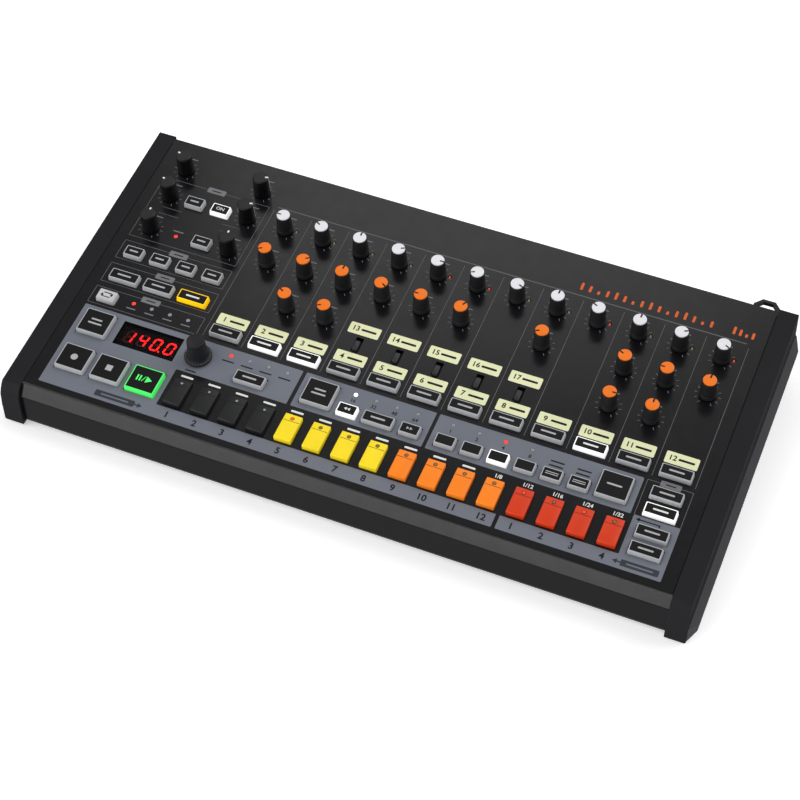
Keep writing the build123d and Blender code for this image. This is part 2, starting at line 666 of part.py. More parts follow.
def turned_knob(u, v, top, top_radius, mark):
    """Returns the knob at (u, v) whose mark points mark degrees clockwise from the back."""
    plane = knob_plane(u, v)
    with BuildPart() as knob:
        with BuildSketch(plane):
            with BuildLine():
                Polyline(
                    (0, KNOB_GAP),
                    (SKIRT_RADIUS, KNOB_GAP),
                    (SKIRT_RADIUS - SKIRT_LEAN, KNOB_GAP + SKIRT_HEIGHT),
                    (top_radius, top),
                    (0, top),
                    close=True,
                )
            make_face()
        revolve(axis=Axis(plane.origin, PANEL.z_dir))
        shaft(u, v)
        face = Plane(plane.origin, x_dir=(1, 0, 0), z_dir=PANEL.z_dir).offset(top)
        with BuildSketch(spun(face, -mark)):
            with Locations((0, top_radius * (1 + MARK_INNER) / 2)):
                Rectangle(MARK_WIDTH, top_radius * (1 - MARK_INNER) + MARK_DEPTH)
        extrude(amount=-MARK_DEPTH, mode=Mode.SUBTRACT)
    return knob


for number, (spot, mark) in enumerate(zip(LEVEL_SPOTS, LEVEL_MARKS), 1):
    level_knob = turned_knob(*spot, VOICE_KNOB_TOP, VOICE_KNOB_RADIUS, mark)
    save(level_knob, f"level_knob_{number:02d}")

for number, (spot, mark) in enumerate(zip(TONE_SPOTS, TONE_MARKS + LOW_TONE_MARKS), 1):
    tone_knob = turned_knob(*spot, VOICE_KNOB_TOP, VOICE_KNOB_RADIUS, mark)
    save(tone_knob, f"tone_knob_{number:02d}")

for number, (spot, mark) in enumerate(zip(MAIN_SPOTS, MAIN_MARKS), 1):
    main_knob = turned_knob(*spot, MAIN_KNOB_TOP, MAIN_KNOB_RADIUS, mark)
    save(main_knob, f"main_knob_{number}")

with BuildPart() as data_wheel:
    wheel_plane = knob_plane(*WHEEL_SPOT)
    base_top = KNOB_GAP + WHEEL_BASE_HEIGHT
    with BuildSketch(wheel_plane):
        with BuildLine():
            Polyline(
                (0, WHEEL_TOP),
                (0, KNOB_GAP),
                (WHEEL_BASE_RADIUS, KNOB_GAP),
                (WHEEL_BASE_RADIUS, base_top),
            )
            ThreePointArc(
                (WHEEL_BASE_RADIUS, base_top),
                (WHEEL_WAIST + WHEEL_SWEEP, base_top + WHEEL_FLARE / 3),
                (WHEEL_WAIST, base_top + WHEEL_FLARE),
            )
            Polyline((WHEEL_WAIST, base_top + WHEEL_FLARE), (WHEEL_RADIUS, WHEEL_TOP), (0, WHEEL_TOP))
        make_face()
    revolve(axis=Axis(wheel_plane.origin, PANEL.z_dir))
    shaft(*WHEEL_SPOT)
save(data_wheel, "data_wheel")


# ---- push buttons: a tapered cap in a flanged skirt, on a stem that reaches its switch
def stems(spots, top):
    """Adds the stems that run from h = top into the wells of the switches."""
    foot = BOARD_TOP + SWITCH_HEIGHT - STEM_ENTRY
    with BuildSketch(PANEL.offset(top)) as posts:
        with Locations(*spots):
            Rectangle(STEM, STEM)
    extrude(posts.sketch, amount=foot - top)


def flanges(spots, width, length):
    """Adds the shoulders under the panel that keep caps of this size in their holes."""
    with BuildSketch(PANEL.offset(SKIRT_FOOT)) as shoulders:
        with Locations(*spots):
            Rectangle(width + 2 * FLANGE, length + 2 * FLANGE)
    extrude(shoulders.sketch, amount=-FLANGE_HEIGHT)


def push_buttons(spots, width, length):
    """Returns all buttons of one mould."""
    inset = 2 * (BUTTON_DRAFT + BUTTON_RIM)
    with BuildPart() as moulded:
        flanges(spots, width, length)
        with BuildSketch(PANEL.offset(SKIRT_FOOT)):
            with Locations(*spots):
                Rectangle(width, length)
        extrude(amount=-SKIRT_FOOT)
        with BuildSketch(PANEL) as foot:
            with Locations(*spots):
                Rectangle(width, length)
        with BuildSketch(PANEL.offset(BUTTON_TOP)) as crown:
            with Locations(*spots):
                Rectangle(width - 2 * BUTTON_DRAFT, length - 2 * BUTTON_DRAFT)
        for low, high in zip(foot.sketch.faces(), crown.sketch.faces()):
            loft([low, high])
        with BuildSketch(PANEL.offset(BUTTON_TOP)):
            with Locations(*spots):
                Rectangle(width - inset, length - inset)
        extrude(amount=BUTTON_PAD)
        stems(spots, SKIRT_FOOT - FLANGE_HEIGHT)
    return moulded


for name, spots, size in BUTTON_SETS:
    save(push_buttons(spots, *size), name)


# ---- step keys: a rounded front edge, a long fall to a crease and a short back with a lamp
def step_keys(spots):
    """Returns the step keys of one colour."""
    middle = spots[0][1]
    front = middle - KEY_LENGTH / 2
    back = middle + KEY_LENGTH / 2
    crease = front + KEY_CREASE_V
    nose = KEY_FRONT_TOP - KEY_NOSE
    with BuildPart() as keys:
        for u, _ in spots:
            with BuildSketch(side_plane(u)):
                with BuildLine():
                    Line((front, -KEY_SKIRT), (front, nose))
                    TangentArc((front, nose), (front + KEY_NOSE, KEY_FRONT_TOP), tangent=(0, 1))
                    Polyline(
                        (front + KEY_NOSE, KEY_FRONT_TOP),
                        (crease, KEY_CREASE),
                        (back, KEY_BACK_TOP),
                        (back, -KEY_SKIRT),
                        (front, -KEY_SKIRT),
                    )
                make_face()
            extrude(amount=KEY_WIDTH / 2, both=True)
        flanges(spots, KEY_WIDTH, KEY_LENGTH)
        stems(spots, -KEY_SKIRT)
        with BuildSketch(PANEL.offset(LAMP_WELL_BOTTOM)):
            with Locations(*[(u, front + KEY_LAMP_V) for u, _ in spots]):
                Circle(LAMP_WELL)
        extrude(amount=KEY_FRONT_TOP, mode=Mode.SUBTRACT)
    return keys


for index, colour in enumerate(("dark", "yellow", "orange", "red")):
    own = STEP_SPOTS[STEPS_PER_COLOUR * index : STEPS_PER_COLOUR * (index + 1)]
    save(step_keys(own), f"{colour}_step_keys")


# ---- slide-switch levers, at the front end of their slots
LEVER_SPOTS = [(u, v - LEVER_STROKE / 2) for u, v in SLIDE_SPOTS]

with BuildPart() as slide_levers:
    with BuildSketch(PANEL.offset(-SHEET)):
        with Locations(*LEVER_SPOTS):
            Rectangle(*LEVER)
    extrude(amount=SHEET + LEVER_TOP)
    with BuildSketch(PANEL.offset(BOARD_TOP + POT_FLOOR + END_GAP)):
        with Locations(*LEVER_SPOTS):
            Rectangle(LEVER_STEM, LEVER_STEM)
    extrude(amount=BOARD_DEPTH - POT_FLOOR - END_GAP - SHEET)
save(slide_levers, "slide_levers")


# ---- lamps and display
with BuildPart() as status_lamps:
    with BuildSketch(PANEL.offset(BOARD_TOP)):
        with Locations(*LAMP_SPOTS):
            Circle(LAMP_RADIUS)
    extrude(amount=BOARD_DEPTH + LAMP_TOP)
save(status_lamps, "status_lamps")

with BuildPart() as display_module:
    with BuildSketch(PANEL.offset(BOARD_TOP)):
        with Locations(DISPLAY_SPOT):
            Rectangle(*DISPLAY)
    extrude(amount=BOARD_DEPTH - SHEET - END_GAP)
save(display_module, "display_module")

with BuildPart() as display_window:
    with BuildSketch(PANEL.offset(-SHEET)):
        with Locations(DISPLAY_SPOT):
            Rectangle(*WINDOW)
    extrude(amount=WINDOW_SHEET)
save(display_window, "display_window")


# ---- sockets on the jack board, behind the rear panel
def behind_panel(middles, body):
    """Adds a block (width, depth, height) behind the rear panel at each place along X."""
    width, depth, height = body
    top = SOCKET_LINE + height / 2
    with BuildSketch(REAR.offset(-TRAY_SHEET - LAP_GAP)) as blocks:
        with Locations(*[(-x, (JACK_BOARD_TOP + top) / 2) for x in middles]):
            Rectangle(width, top - JACK_BOARD_TOP)
    extrude(blocks.sketch, amount=-depth)


def jacks(middles, body, bush, bore, nut):
    """Returns jacks with a bush through the rear panel, a nut on it and a blind bore."""
    places = [(-x, SOCKET_LINE) for x in middles]
    with BuildPart() as sockets:
        behind_panel(middles, body)
        with BuildSketch(REAR.offset(-TRAY_SHEET - LAP_GAP)):
            with Locations(*places):
                Circle(bush)
        extrude(amount=TRAY_SHEET + LAP_GAP + NUT_HEIGHT)
        with BuildSketch(REAR):
            with Locations(*places):
                RegularPolygon(nut, 6)
                Circle(bush + HOLE_FIT, mode=Mode.SUBTRACT)
        extrude(amount=NUT_HEIGHT)
        with BuildSketch(REAR.offset(NUT_HEIGHT)):
            with Locations(*places):
                Circle(bore)
        extrude(amount=-body[1], mode=Mode.SUBTRACT)
    return sockets


audio_jacks = jacks(AUDIO_SPOTS, AUDIO_BODY, AUDIO_BUSH, AUDIO_BORE, AUDIO_NUT)
save(audio_jacks, "audio_jacks")

mini_jacks = jacks(MINI_SPOTS, MINI_BODY, MINI_BUSH, MINI_BORE, MINI_NUT)
save(mini_jacks, "mini_jacks")


def cores(places, mouth, depth, bore, core):
    """Stands a round core on a foot in each blind bore that starts at the mouth plane."""
    floor = mouth.offset(CORE_GAP - depth)
    with BuildSketch(floor) as feet:
        with Locations(*places):
            Circle(bore - CORE_GAP)
    extrude(feet.sketch, amount=CORE_FOOT)
    with BuildSketch(floor) as rods:
        with Locations(*places):
            Circle(core)
    extrude(rods.sketch, amount=depth - CORE_GAP)


with BuildPart() as midi_sockets:
    midi_places = [(-x, SOCKET_LINE) for x in MIDI_SPOTS]
    behind_panel(MIDI_SPOTS, MIDI_BODY)
    with BuildSketch(REAR.offset(-TRAY_SHEET - LAP_GAP)):
        with Locations(*midi_places):
            Circle(MIDI_BOSS)
    extrude(amount=TRAY_SHEET + LAP_GAP)
    with BuildSketch(REAR):
        with Locations(*midi_places):
            Circle(MIDI_RING)
    extrude(amount=-MIDI_DEPTH, mode=Mode.SUBTRACT)
    cores(midi_places, REAR, MIDI_DEPTH, MIDI_RING, MIDI_CORE)
    with BuildSketch(REAR):
        with Locations(*midi_places):
            with PolarLocations(MIDI_PIN_CIRCLE, MIDI_PINS, angular_range=180, endpoint=True):
                RegularPolygon(MIDI_PIN, MIDI_PIN_SIDES)
    extrude(amount=CORE_GAP + CORE_FOOT - MIDI_DEPTH, mode=Mode.SUBTRACT)
save(midi_sockets, "midi_sockets")

with BuildPart() as usb_socket:
    with BuildSketch(REAR.offset(-USB_SHELL[1])):
        with Locations((-USB_X, SOCKET_LINE)):
            Rectangle(USB_SHELL[0], USB_SHELL[2])
    extrude(amount=USB_SHELL[1])
    with BuildSketch(REAR):
        with Locations((-USB_X, SOCKET_LINE)):
            Rectangle(*USB_MOUTH)
            Rectangle(*USB_TONGUE, mode=Mode.SUBTRACT)
    extrude(amount=-USB_DEPTH, mode=Mode.SUBTRACT)
save(usb_socket, "usb_socket")

# ---- power inlet and the housing of the rocker switch
with BuildPart() as power_inlet:
    inlet_mouth = REAR.offset(-TRAY_SHEET - LAP_GAP)
    behind_panel([INLET_X], INLET_BODY)
    with BuildSketch(inlet_mouth):
        with Locations((-INLET_X, SOCKET_LINE)):
            Circle(INLET_BORE)
    extrude(amount=-INLET_DEPTH, mode=Mode.SUBTRACT)
    cores([(-INLET_X, SOCKET_LINE)], inlet_mouth, INLET_DEPTH, INLET_BORE, INLET_PIN)
    with BuildSketch(REAR.offset(SWITCH_BEZEL[1])):
        with Locations((-SWITCH_X, SWITCH_LINE)):
            Rectangle(SWITCH_BODY[0], SWITCH_BODY[2])
    extrude(amount=-SWITCH_BODY[1])
    with BuildSketch(REAR):
        with Locations((-SWITCH_X, SWITCH_LINE)):
            Rectangle(SWITCH_BEZEL[0], SWITCH_BEZEL[2])
    extrude(amount=SWITCH_BEZEL[1])
    with BuildSketch(REAR.offset(SWITCH_BEZEL[1])):
        with Locations((-SWITCH_X, SWITCH_LINE)):
            Rectangle(ROCKER[0] + 2 * ROCKER_RUN, ROCKER[1] + 2 * ROCKER_SWING)
    extrude(amount=-SWITCH_WELL, mode=Mode.SUBTRACT)
save(power_inlet, "power_inlet")

with BuildPart() as power_rocker:
    pivot = (SWITCH_X, REAR_Y - ROCKER_PIVOT, SWITCH_LINE)
    rocker_plane = Plane(origin=pivot, x_dir=(0, 1, 0), z_dir=(1, 0, 0))
    with BuildSketch(spun(rocker_plane, ROCKER_TILT)):
        with BuildLine():
            half = ROCKER[1] / 2
            ThreePointArc((ROCKER_FACE, -half), (ROCKER_FACE - ROCKER_DISH, 0), (ROCKER_FACE, half))
            Polyline((ROCKER_FACE, half), (0, half), (-ROCKER_KEEL, 0), (0, -half), (ROCKER_FACE, -half))
        make_face()
    extrude(amount=ROCKER[0] / 2, both=True)
    with BuildSketch(rocker_plane):
        Circle(ROCKER_PIN)
    extrude(amount=ROCKER[0] / 2 + ROCKER_PIN_REACH, both=True)
save(power_rocker, "power_rocker")

# ---- loop that keeps the supply cord in place
with BuildPart() as cord_hook:
    half = HOOK_WIDTH / 2
    with BuildSketch(Plane.XY.offset(HOOK_LINE - HOOK_HEIGHT / 2)):
        with BuildLine():
            Polyline(
                (HOOK_X - half, REAR_Y),
                (HOOK_X - half, REAR_Y + HOOK_CORNER),
                (HOOK_X - HOOK_NOSE / 2, REAR_Y + HOOK_REACH),
                (HOOK_X + HOOK_NOSE / 2, REAR_Y + HOOK_REACH),
                (HOOK_X + half, REAR_Y + HOOK_CORNER),
                (HOOK_X + half, REAR_Y),
            )
            offset(amount=HOOK_BAR, side=Side.RIGHT)
        make_face()
    extrude(amount=HOOK_HEIGHT)
    with BuildSketch(REAR):
        with Locations((-HOOK_X, HOOK_LINE)):
            Rectangle(HOOK_WIDTH, 3 * HOOK_HEIGHT)
    extrude(amount=HOOK_FOOT)
save(cord_hook, "cord_hook")

# ---- feet and screws
with BuildPart() as rubber_feet:
    with BuildSketch(Plane.XY.offset(TRAY_LIFT)):
        with Locations(*FOOT_SPOTS):
            Circle(FOOT_RADIUS)
    extrude(amount=-TRAY_LIFT, taper=10)
save(rubber_feet, "rubber_feet")

with BuildPart() as case_screws:
    with BuildSketch(Plane.XY.offset(TRAY_LIFT)):
        with Locations(*[(x, FRONT_SCREW_Y) for x in FRONT_SCREW_COLUMNS]):
            Circle(SCREW_HEAD)
    extrude(amount=-SCREW_HEAD_HEIGHT)
    with BuildSketch(Plane.XY.offset(TRAY_LIFT)):
        with Locations(*[(x, FRONT_SCREW_Y) for x in FRONT_SCREW_COLUMNS]):
            Circle(SCREW_SHANK)
    extrude(amount=SCREW_LENGTH)
    for side in (-1, 1):
        inner = Plane.YZ.offset(side * (HALF_CASE - SEAM - TRAY_SHEET))
        with BuildSketch(inner):
            with Locations(*SIDE_SCREWS):
                Circle(SCREW_HEAD)
        extrude(amount=-side * SCREW_HEAD_HEIGHT)
        with BuildSketch(inner):
            with Locations(*SIDE_SCREWS):
                Circle(SCREW_SHANK)
        extrude(amount=side * SCREW_LENGTH)
save(case_screws, "case_screws")
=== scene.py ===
"""Looks of a desktop drum machine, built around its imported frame.

Sizes are millimetres. A place on the sloping control panel is (u, v, h): u along the machine from
its middle, v up the slope from the front edge of the cheeks and h off the panel.
"""

import logging
from dataclasses import dataclass, field, replace
from enum import Enum, auto
from math import cos, pi, radians, sin, tan
from typing import Callable, Iterable, Sequence

import bpy
from mathutils import Matrix, Vector


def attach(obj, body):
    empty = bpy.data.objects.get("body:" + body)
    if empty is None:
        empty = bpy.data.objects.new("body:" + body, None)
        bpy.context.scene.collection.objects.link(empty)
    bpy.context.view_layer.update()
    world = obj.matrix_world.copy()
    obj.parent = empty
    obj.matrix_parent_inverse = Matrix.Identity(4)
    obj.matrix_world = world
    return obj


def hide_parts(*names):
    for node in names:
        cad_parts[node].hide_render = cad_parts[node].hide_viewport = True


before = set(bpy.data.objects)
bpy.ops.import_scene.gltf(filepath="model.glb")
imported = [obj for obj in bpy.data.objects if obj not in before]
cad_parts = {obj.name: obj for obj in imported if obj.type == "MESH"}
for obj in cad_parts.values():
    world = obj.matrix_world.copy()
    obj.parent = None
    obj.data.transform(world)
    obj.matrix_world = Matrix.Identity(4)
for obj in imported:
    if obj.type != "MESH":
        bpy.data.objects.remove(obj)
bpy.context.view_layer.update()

LOG = logging.getLogger("drum_machine")

Point = tuple[float, float]
Place = tuple[float, float, float]
Colour = tuple[float, float, float]
Outline = list[Point]

# ---- the control panel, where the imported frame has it
MM = 0.001
PANEL_ORIGIN = (0.0, -127.7, 37.2)
SLOPE = radians(5.5)
PANEL = Matrix.Scale(MM, 4) @ Matrix.Translation(PANEL_ORIGIN) @ Matrix.Rotation(SLOPE, 4, "X")
FIT = 0.4  # round a button or lamp in its hole
REAR_Y = 111.5  # outer face of the rear panel
HALF_CASE = 229.5  # from the middle of the machine to a cheek
WALL_REACH = 243.9  # and to the outside of its wall

# ---- rows of the panel, as v
STEP_ROW = 31.3
TRANSPORT_ROW = 32.4
EDIT_ROW = 58.5
DATA_ROW = 64.5
LAMP_ROW = 73.4
SELECT_ROW = 88.3
SYNC_ROW = 90.3
PLATE_ROW = 100.1
MODE_ROW = 107.9
SLIDE_ROW = 112.4
HIGH_PLATE_ROW = 125.3
LOW_TONE_ROW = 124.6
SAVE_ROW = 130.2
FX_ROW = 155.5
TONE_ROW = 156.4
ON_ROW = 187.3
LEVEL_ROW = 188.2
RULE_ROW = 206.1
TOP_ROW = 214.8
RIGHT_ROWS = (69.7, 56.2, 38.9, 25.6)

# ---- columns of the panel, as u
VOICE_COLUMN = -117.0
VOICE_PITCH = 29.24
VOICES = 12
STEP_COLUMN = -126.0
STEP_PITCH = 20.34
LEFT_COLUMN = -207.9
MODE_COLUMN = -204.2
MODE_PITCH = 26.55
MAIN_COLUMNS = (-207.9, -146.9)
DISPLAY_COLUMN = -164.5
DATA_COLUMN = -126.4
DATA_BUTTON = -85.2
SCROLL_BUTTON = -36.5
BACK_BUTTON = -13.9
LENGTH_BUTTON = 8.3
NEXT_BUTTON = 30.95
PAGE_COLUMN = 55.9
PAGE_PITCH = 18.5
TRIGGER_BUTTON = 170.4
RIGHT_COLUMN = 204.0
SYNC_LAMP = -188.5
DATA_LAMP = -105.9
FX_LAMP = -187.7
LAMP_PITCH = 13.95
LENGTH_LAMP_PITCH = 14.9
VOICE_LAMP = (8.2, 1.3)  # from the middle of a level knob

# ---- where each knob's mark points at rest, in degrees clockwise from the back
LEVEL_MARKS = (-90, -62, 0, 62, 90, -113, 112, 0, -63, 0, 62, 118)
TONE_MARKS = (-120, 57, 0, 120, -90, 30, -117, -63, -90, 0, -60, -116, 90, 0)
MAIN_MARKS = (0, 0, -64, 66, -72, 70)

# ---- voices with a tone knob, a second one in front of it, or a slide switch
TONE_VOICES = (0, 1, 2, 3, 4, 5, 7, 9, 10, 11)
LOW_TONE_VOICES = (1, 2, 9, 10)
SLIDE_VOICES = (3, 4, 5, 6, 7)


def voices(v: float, indices: Iterable[int] = range(VOICES)) -> list[Point]:
    """Returns the places on row v in the columns of some voices, or of all."""
    return [(VOICE_COLUMN + VOICE_PITCH * index, v) for index in indices]


def run(first: float, pitch: float, count: int, v: float) -> list[Point]:
    """Returns evenly spaced places along one row of the panel.

    Args:
        first: Column of the first place.
        pitch: Distance between columns.
        count: Number of places.
        v: The row.

    Returns:
        The places, from left to right.
    """
    return [(first + pitch * i, v) for i in range(count)]


LEVEL_SPOTS = voices(LEVEL_ROW)
TONE_SPOTS = voices(TONE_ROW, TONE_VOICES) + voices(LOW_TONE_ROW, LOW_TONE_VOICES)
MAIN_SPOTS = [(u, v) for v in (TONE_ROW, LEVEL_ROW, TOP_ROW) for u in MAIN_COLUMNS]
STEP_SPOTS = run(STEP_COLUMN, STEP_PITCH, 16, STEP_ROW)
SYNC_LAMPS = run(SYNC_LAMP, LAMP_PITCH, 4, SYNC_ROW)
DATA_LAMPS = run(DATA_LAMP, LAMP_PITCH, 4, LAMP_ROW)
LENGTH_LAMPS = run(BACK_BUTTON, LENGTH_LAMP_PITCH, 4, LAMP_ROW)
PAGE_LAMPS = run(PAGE_COLUMN, PAGE_PITCH, 4, LAMP_ROW)
VOICE_LAMPS = [(u + VOICE_LAMP[0], v + VOICE_LAMP[1]) for u, v in LEVEL_SPOTS]


# ---- shading


def linear(colour: Colour, share: float = 1.0) -> tuple[float, float, float, float]:
    """Returns a share of an sRGB colour of 0 to 255 as linear light with alpha."""
    parts = [min(1.0, c * share / 255) for c in colour]
    return (*[c / 12.92 if c <= 0.04045 else ((c + 0.055) / 1.055) ** 2.4 for c in parts], 1.0)


class Value:
    """A socket that takes part in Python expressions by adding Math nodes."""

    def __init__(self, shader: "Shader", socket: bpy.types.NodeSocket) -> None:
        """Wraps an output socket of the shader's tree."""
        self.shader, self.socket = shader, socket

    def _math(self, operation: str, *operands: object) -> "Value":
        """Returns the result of one Math node."""
        inputs = dict(enumerate(operands))
        return self.shader.node("ShaderNodeMath", {"operation": operation}, inputs)

    def __add__(self, other: object) -> "Value":
        """Returns self + other."""
        return self._math("ADD", self, other)

    __radd__ = __add__

    def __mul__(self, other: object) -> "Value":
        """Returns self * other."""
        return self._math("MULTIPLY", self, other)

    __rmul__ = __mul__

    def __sub__(self, other: object) -> "Value":
        """Returns self - other."""
        return self._math("SUBTRACT", self, other)

    def __rsub__(self, other: object) -> "Value":
        """Returns other - self."""
        return self._math("SUBTRACT", other, self)

    def __gt__(self, other: object) -> "Value":
        """Returns 1 where self is greater than other, else 0."""
        return self._math("GREATER_THAN", self, other)

    def __abs__(self) -> "Value":
        """Returns self without its sign."""
        return self._math("ABSOLUTE", self)


class Shader:
    """The node tree of one material."""

    def __init__(self, name: str) -> None:
        """Makes a material whose tree holds a Principled surface.

        Args:
            name: Name of the material.
        """
        self.material = bpy.data.materials.new(name)
        self.material.use_nodes = True
        self.tree = self.material.node_tree
        self.surface = next(n for n in self.tree.nodes if n.type == "BSDF_PRINCIPLED")

    def node(
        self, kind: str, settings: dict | None = None, inputs: dict | None = None, output: object = 0
    ) -> Value:
        """Adds a node.

        Args:
            kind: The node's type.
            settings: Properties of the node, set before its sockets.
            inputs: Values or links of its sockets, by name or number.
            output: Name or number of the output to return.

        Returns:
            The wrapped output socket.
        """
        made = self.tree.nodes.new(kind)
        for key, value in (settings or {}).items():
            setattr(made, key, value)
        for key, value in (inputs or {}).items():
            self.join(made.inputs[key], value)
        return Value(self, made.outputs[output])

    def join(self, socket: bpy.types.NodeSocket, value: object) -> None:
        """Links a wrapped socket to an input, or sets a plain value on it.

        Args:
            socket: The input.
            value: A wrapped socket, or a number, colour or vector.
        """
        if isinstance(value, Value):
            self.tree.links.new(value.socket, socket)
        else:
            socket.default_value = value

    def wear(self, **inputs: object) -> None:
        """Sets inputs of the surface; a name's underscores stand for spaces."""
        for key, value in inputs.items():
            self.join(self.surface.inputs[key.replace("_", " ")], value)

    def place(self) -> Value:
        """Returns the place on the piece, in metres, which stays with it as it moves."""
        return self.node("ShaderNodeTexCoord", output="Object")

    def along(self, axis: str) -> Value:
        """Returns the place along one axis."""
        return self.node("ShaderNodeSeparateXYZ", inputs={0: self.place()}, output=axis)

    def noise(self, size: float, detail: float = 2.0, stretch: Place = (1.0, 1.0, 1.0)) -> Value:
        """Returns smooth noise.

        Args:
            size: Size of its features, in millimetres.
            detail: Octaves of finer noise.
            stretch: How much finer it is along each axis.

        Returns:
            The noise, about 0.5 on average.
        """
        where = self.node("ShaderNodeMapping", inputs={"Vector": self.place(), "Scale": stretch})
        sockets = {"Vector": where, "Scale": 1 / (size * MM), "Detail": detail}
        return self.node("ShaderNodeTexNoise", inputs=sockets)

    def blend(self, mask: Value, low: object, high: object) -> Value:
        """Returns a colour that goes from low to high as the mask goes from 0 to 1."""
        return self.node("ShaderNodeMix", {"data_type": "RGBA"}, {0: mask, 6: low, 7: high}, 2)

    def bump(self, height: Value, depth: float) -> None:
        """Lets a height map raise the surface by up to depth millimetres."""
        sockets = {"Height": height, "Distance": depth * MM, "Strength": 1.0}
        self.wear(Normal=self.node("ShaderNodeBump", inputs=sockets))


@dataclass(frozen=True)
class Finish:
    """A colour that is not quite even, a roughness and a grain."""

    name: str
    colour: Colour
    roughness: float = 0.5
    unevenness: float = 0.08  # share by which the colour changes over the surface
    patch: float = 14.0  # size of those changes
    specular: float = 0.3
    grain: float = 0.3  # size of the bumps
    depth: float = 0.0
    detail: float = 4.0  # octaves of finer bumps

    def make(self) -> bpy.types.Material:
        """Makes the finish once.

        Returns:
            The material.
        """
        label = self.name + "_look"
        if label not in bpy.data.materials:
            self.dress(Shader(label))
        return bpy.data.materials[label]

    def tint(self, shader: Shader) -> Value:
        """Returns the colour, a little lighter and darker in patches."""
        low, high = (linear(self.colour, 1 + way * self.unevenness) for way in (-1, 1))
        return shader.blend(shader.noise(self.patch, detail=3.0), low, high)

    def rough(self, noise: Value, spread: float) -> Value:
        """Returns the roughness, which noise spreads a little."""
        return noise * spread + (self.roughness - spread / 2)

    def dress(self, shader: Shader) -> None:
        """Sets the surface of a slightly uneven finish, with its grain if it has one.

        Args:
            shader: The tree to work on.
        """
        rough = self.rough(shader.noise(self.patch / 3), spread=0.12)
        shader.wear(Base_Color=self.tint(shader), Roughness=rough, Specular_IOR_Level=self.specular)
        if self.depth:
            shader.bump(shader.noise(self.grain, self.detail), self.depth)


@dataclass(frozen=True)
class Moulded(Finish):
    """Moulded plastic with the fine grain of a spark-eroded tool."""

    depth: float = 0.004
    sheen: float = 0.0  # weight of a thin gloss coat

    def dress(self, shader: Shader) -> None:
        """Adds the gloss coat where the plastic has one."""
        super().dress(shader)
        shader.wear(Coat_Weight=self.sheen, Coat_Roughness=0.25)


@dataclass(frozen=True)
class Powder(Finish):
    """Powder-coated sheet metal: an even orange peel with finer grain on it."""

    unevenness: float = 0.05
    patch: float = 30.0
    peel: float = 1.1
    peel_depth: float = 0.02
    fine: float = 0.3  # share of the finer grain

    def dress(self, shader: Shader) -> None:
        """Adds the peel and the finer grain.

        Args:
            shader: The tree to work on.
        """
        super().dress(shader)
        peel = shader.noise(self.peel, detail=1.0) * (1 - self.fine)
        shader.bump(peel + shader.noise(self.peel / 4) * self.fine, self.peel_depth)


@dataclass(frozen=True)
class Cheek(Moulded):
    """The cheeks' plastic, with a painted highlight: the rail that stands out of their walls is
    painted paler, where light falls on its upward face.
    """

    # painted highlight: colour of the rail, lighter than the cheek's own plastic where light falls on
    # it
    rail: Colour = (70, 70, 73)

    def dress(self, shader: Shader) -> None:
        """Paints a highlight on whatever lies outside the cheeks' walls.

        Args:
            shader: The tree to work on.
        """
        super().dress(shader)
        # painted highlight: the rail outside the walls gets the paler colour
        outside = abs(shader.along("X")) > WALL_REACH * MM
        shader.wear(Base_Color=shader.blend(outside, self.tint(shader), linear(self.rail)))


@dataclass(frozen=True)
class Ink(Finish):
    """Screen-printed ink, with the faint mark of the screen."""

    unevenness: float = 0.05
    patch: float = 10.0
    grain: float = 0.35
    depth: float = 0.006
    detail: float = 1.0


@dataclass(frozen=True)
class Lit(Finish):
    """Translucent plastic or a lamp with light behind it."""

    roughness: float = 0.4
    strength: float = 1.0
    waver: float = 0.14  # share by which the glow changes over the surface
    cloud: float = 4.0  # size of those changes

    def dress(self, shader: Shader) -> None:
        """Adds the glow, which is not quite even.

        Args:
            shader: The tree to work on.
        """
        super().dress(shader)
        dim, bright = linear(self.colour, 1 - self.waver), linear(self.colour)
        glow = shader.blend(shader.noise(self.cloud), dim, bright)
        shader.wear(Emission_Color=glow, Emission_Strength=self.strength)


@dataclass(frozen=True)
class Metal(Finish):
    """Plated steel with fine lines from turning or rolling."""

    line: float = 0.4
    line_depth: float = 0.004

    def dress(self, shader: Shader) -> None:
        """Adds the lines, in the roughness and the normal.

        Args:
            shader: The tree to work on.
        """
        super().dress(shader)
        lines = shader.noise(self.line, stretch=(0.1, 1.0, 1.0))
        shader.wear(Metallic=1.0, Roughness=self.rough(lines, spread=0.2))
        shader.bump(lines, self.line_depth)


@dataclass(frozen=True)
class Smoked(Finish):
    """Smoked acrylic: dark, smooth and mostly clear."""

    cover: float = 0.2

    def dress(self, shader: Shader) -> None:
        """Lets light from behind through."""
        super().dress(shader)
        shader.wear(Alpha=self.cover)


@dataclass(frozen=True)
class Socketed(Finish):
    """Plastic socket bodies whose nuts, outside the rear panel, are plated."""

    plated: Colour = (185, 185, 190)
    line: float = 0.5
    polish: float = 0.2  # by how much the plated metal is less rough

    def dress(self, shader: Shader) -> None:
        """Turns whatever stands out of the rear panel into plated metal.

        Args:
            shader: The tree to work on.
        """
        proud = shader.along("Y") > (REAR_Y + 0.02) * MM
        lines = shader.noise(self.line)
        plated = shader.blend(lines, linear(self.plated, 0.9), linear(self.plated))
        shader.wear(
            Base_Color=shader.blend(proud, self.tint(shader), plated),
            Metallic=proud,
            Roughness=self.rough(lines, spread=0.1) - proud * self.polish,
        )


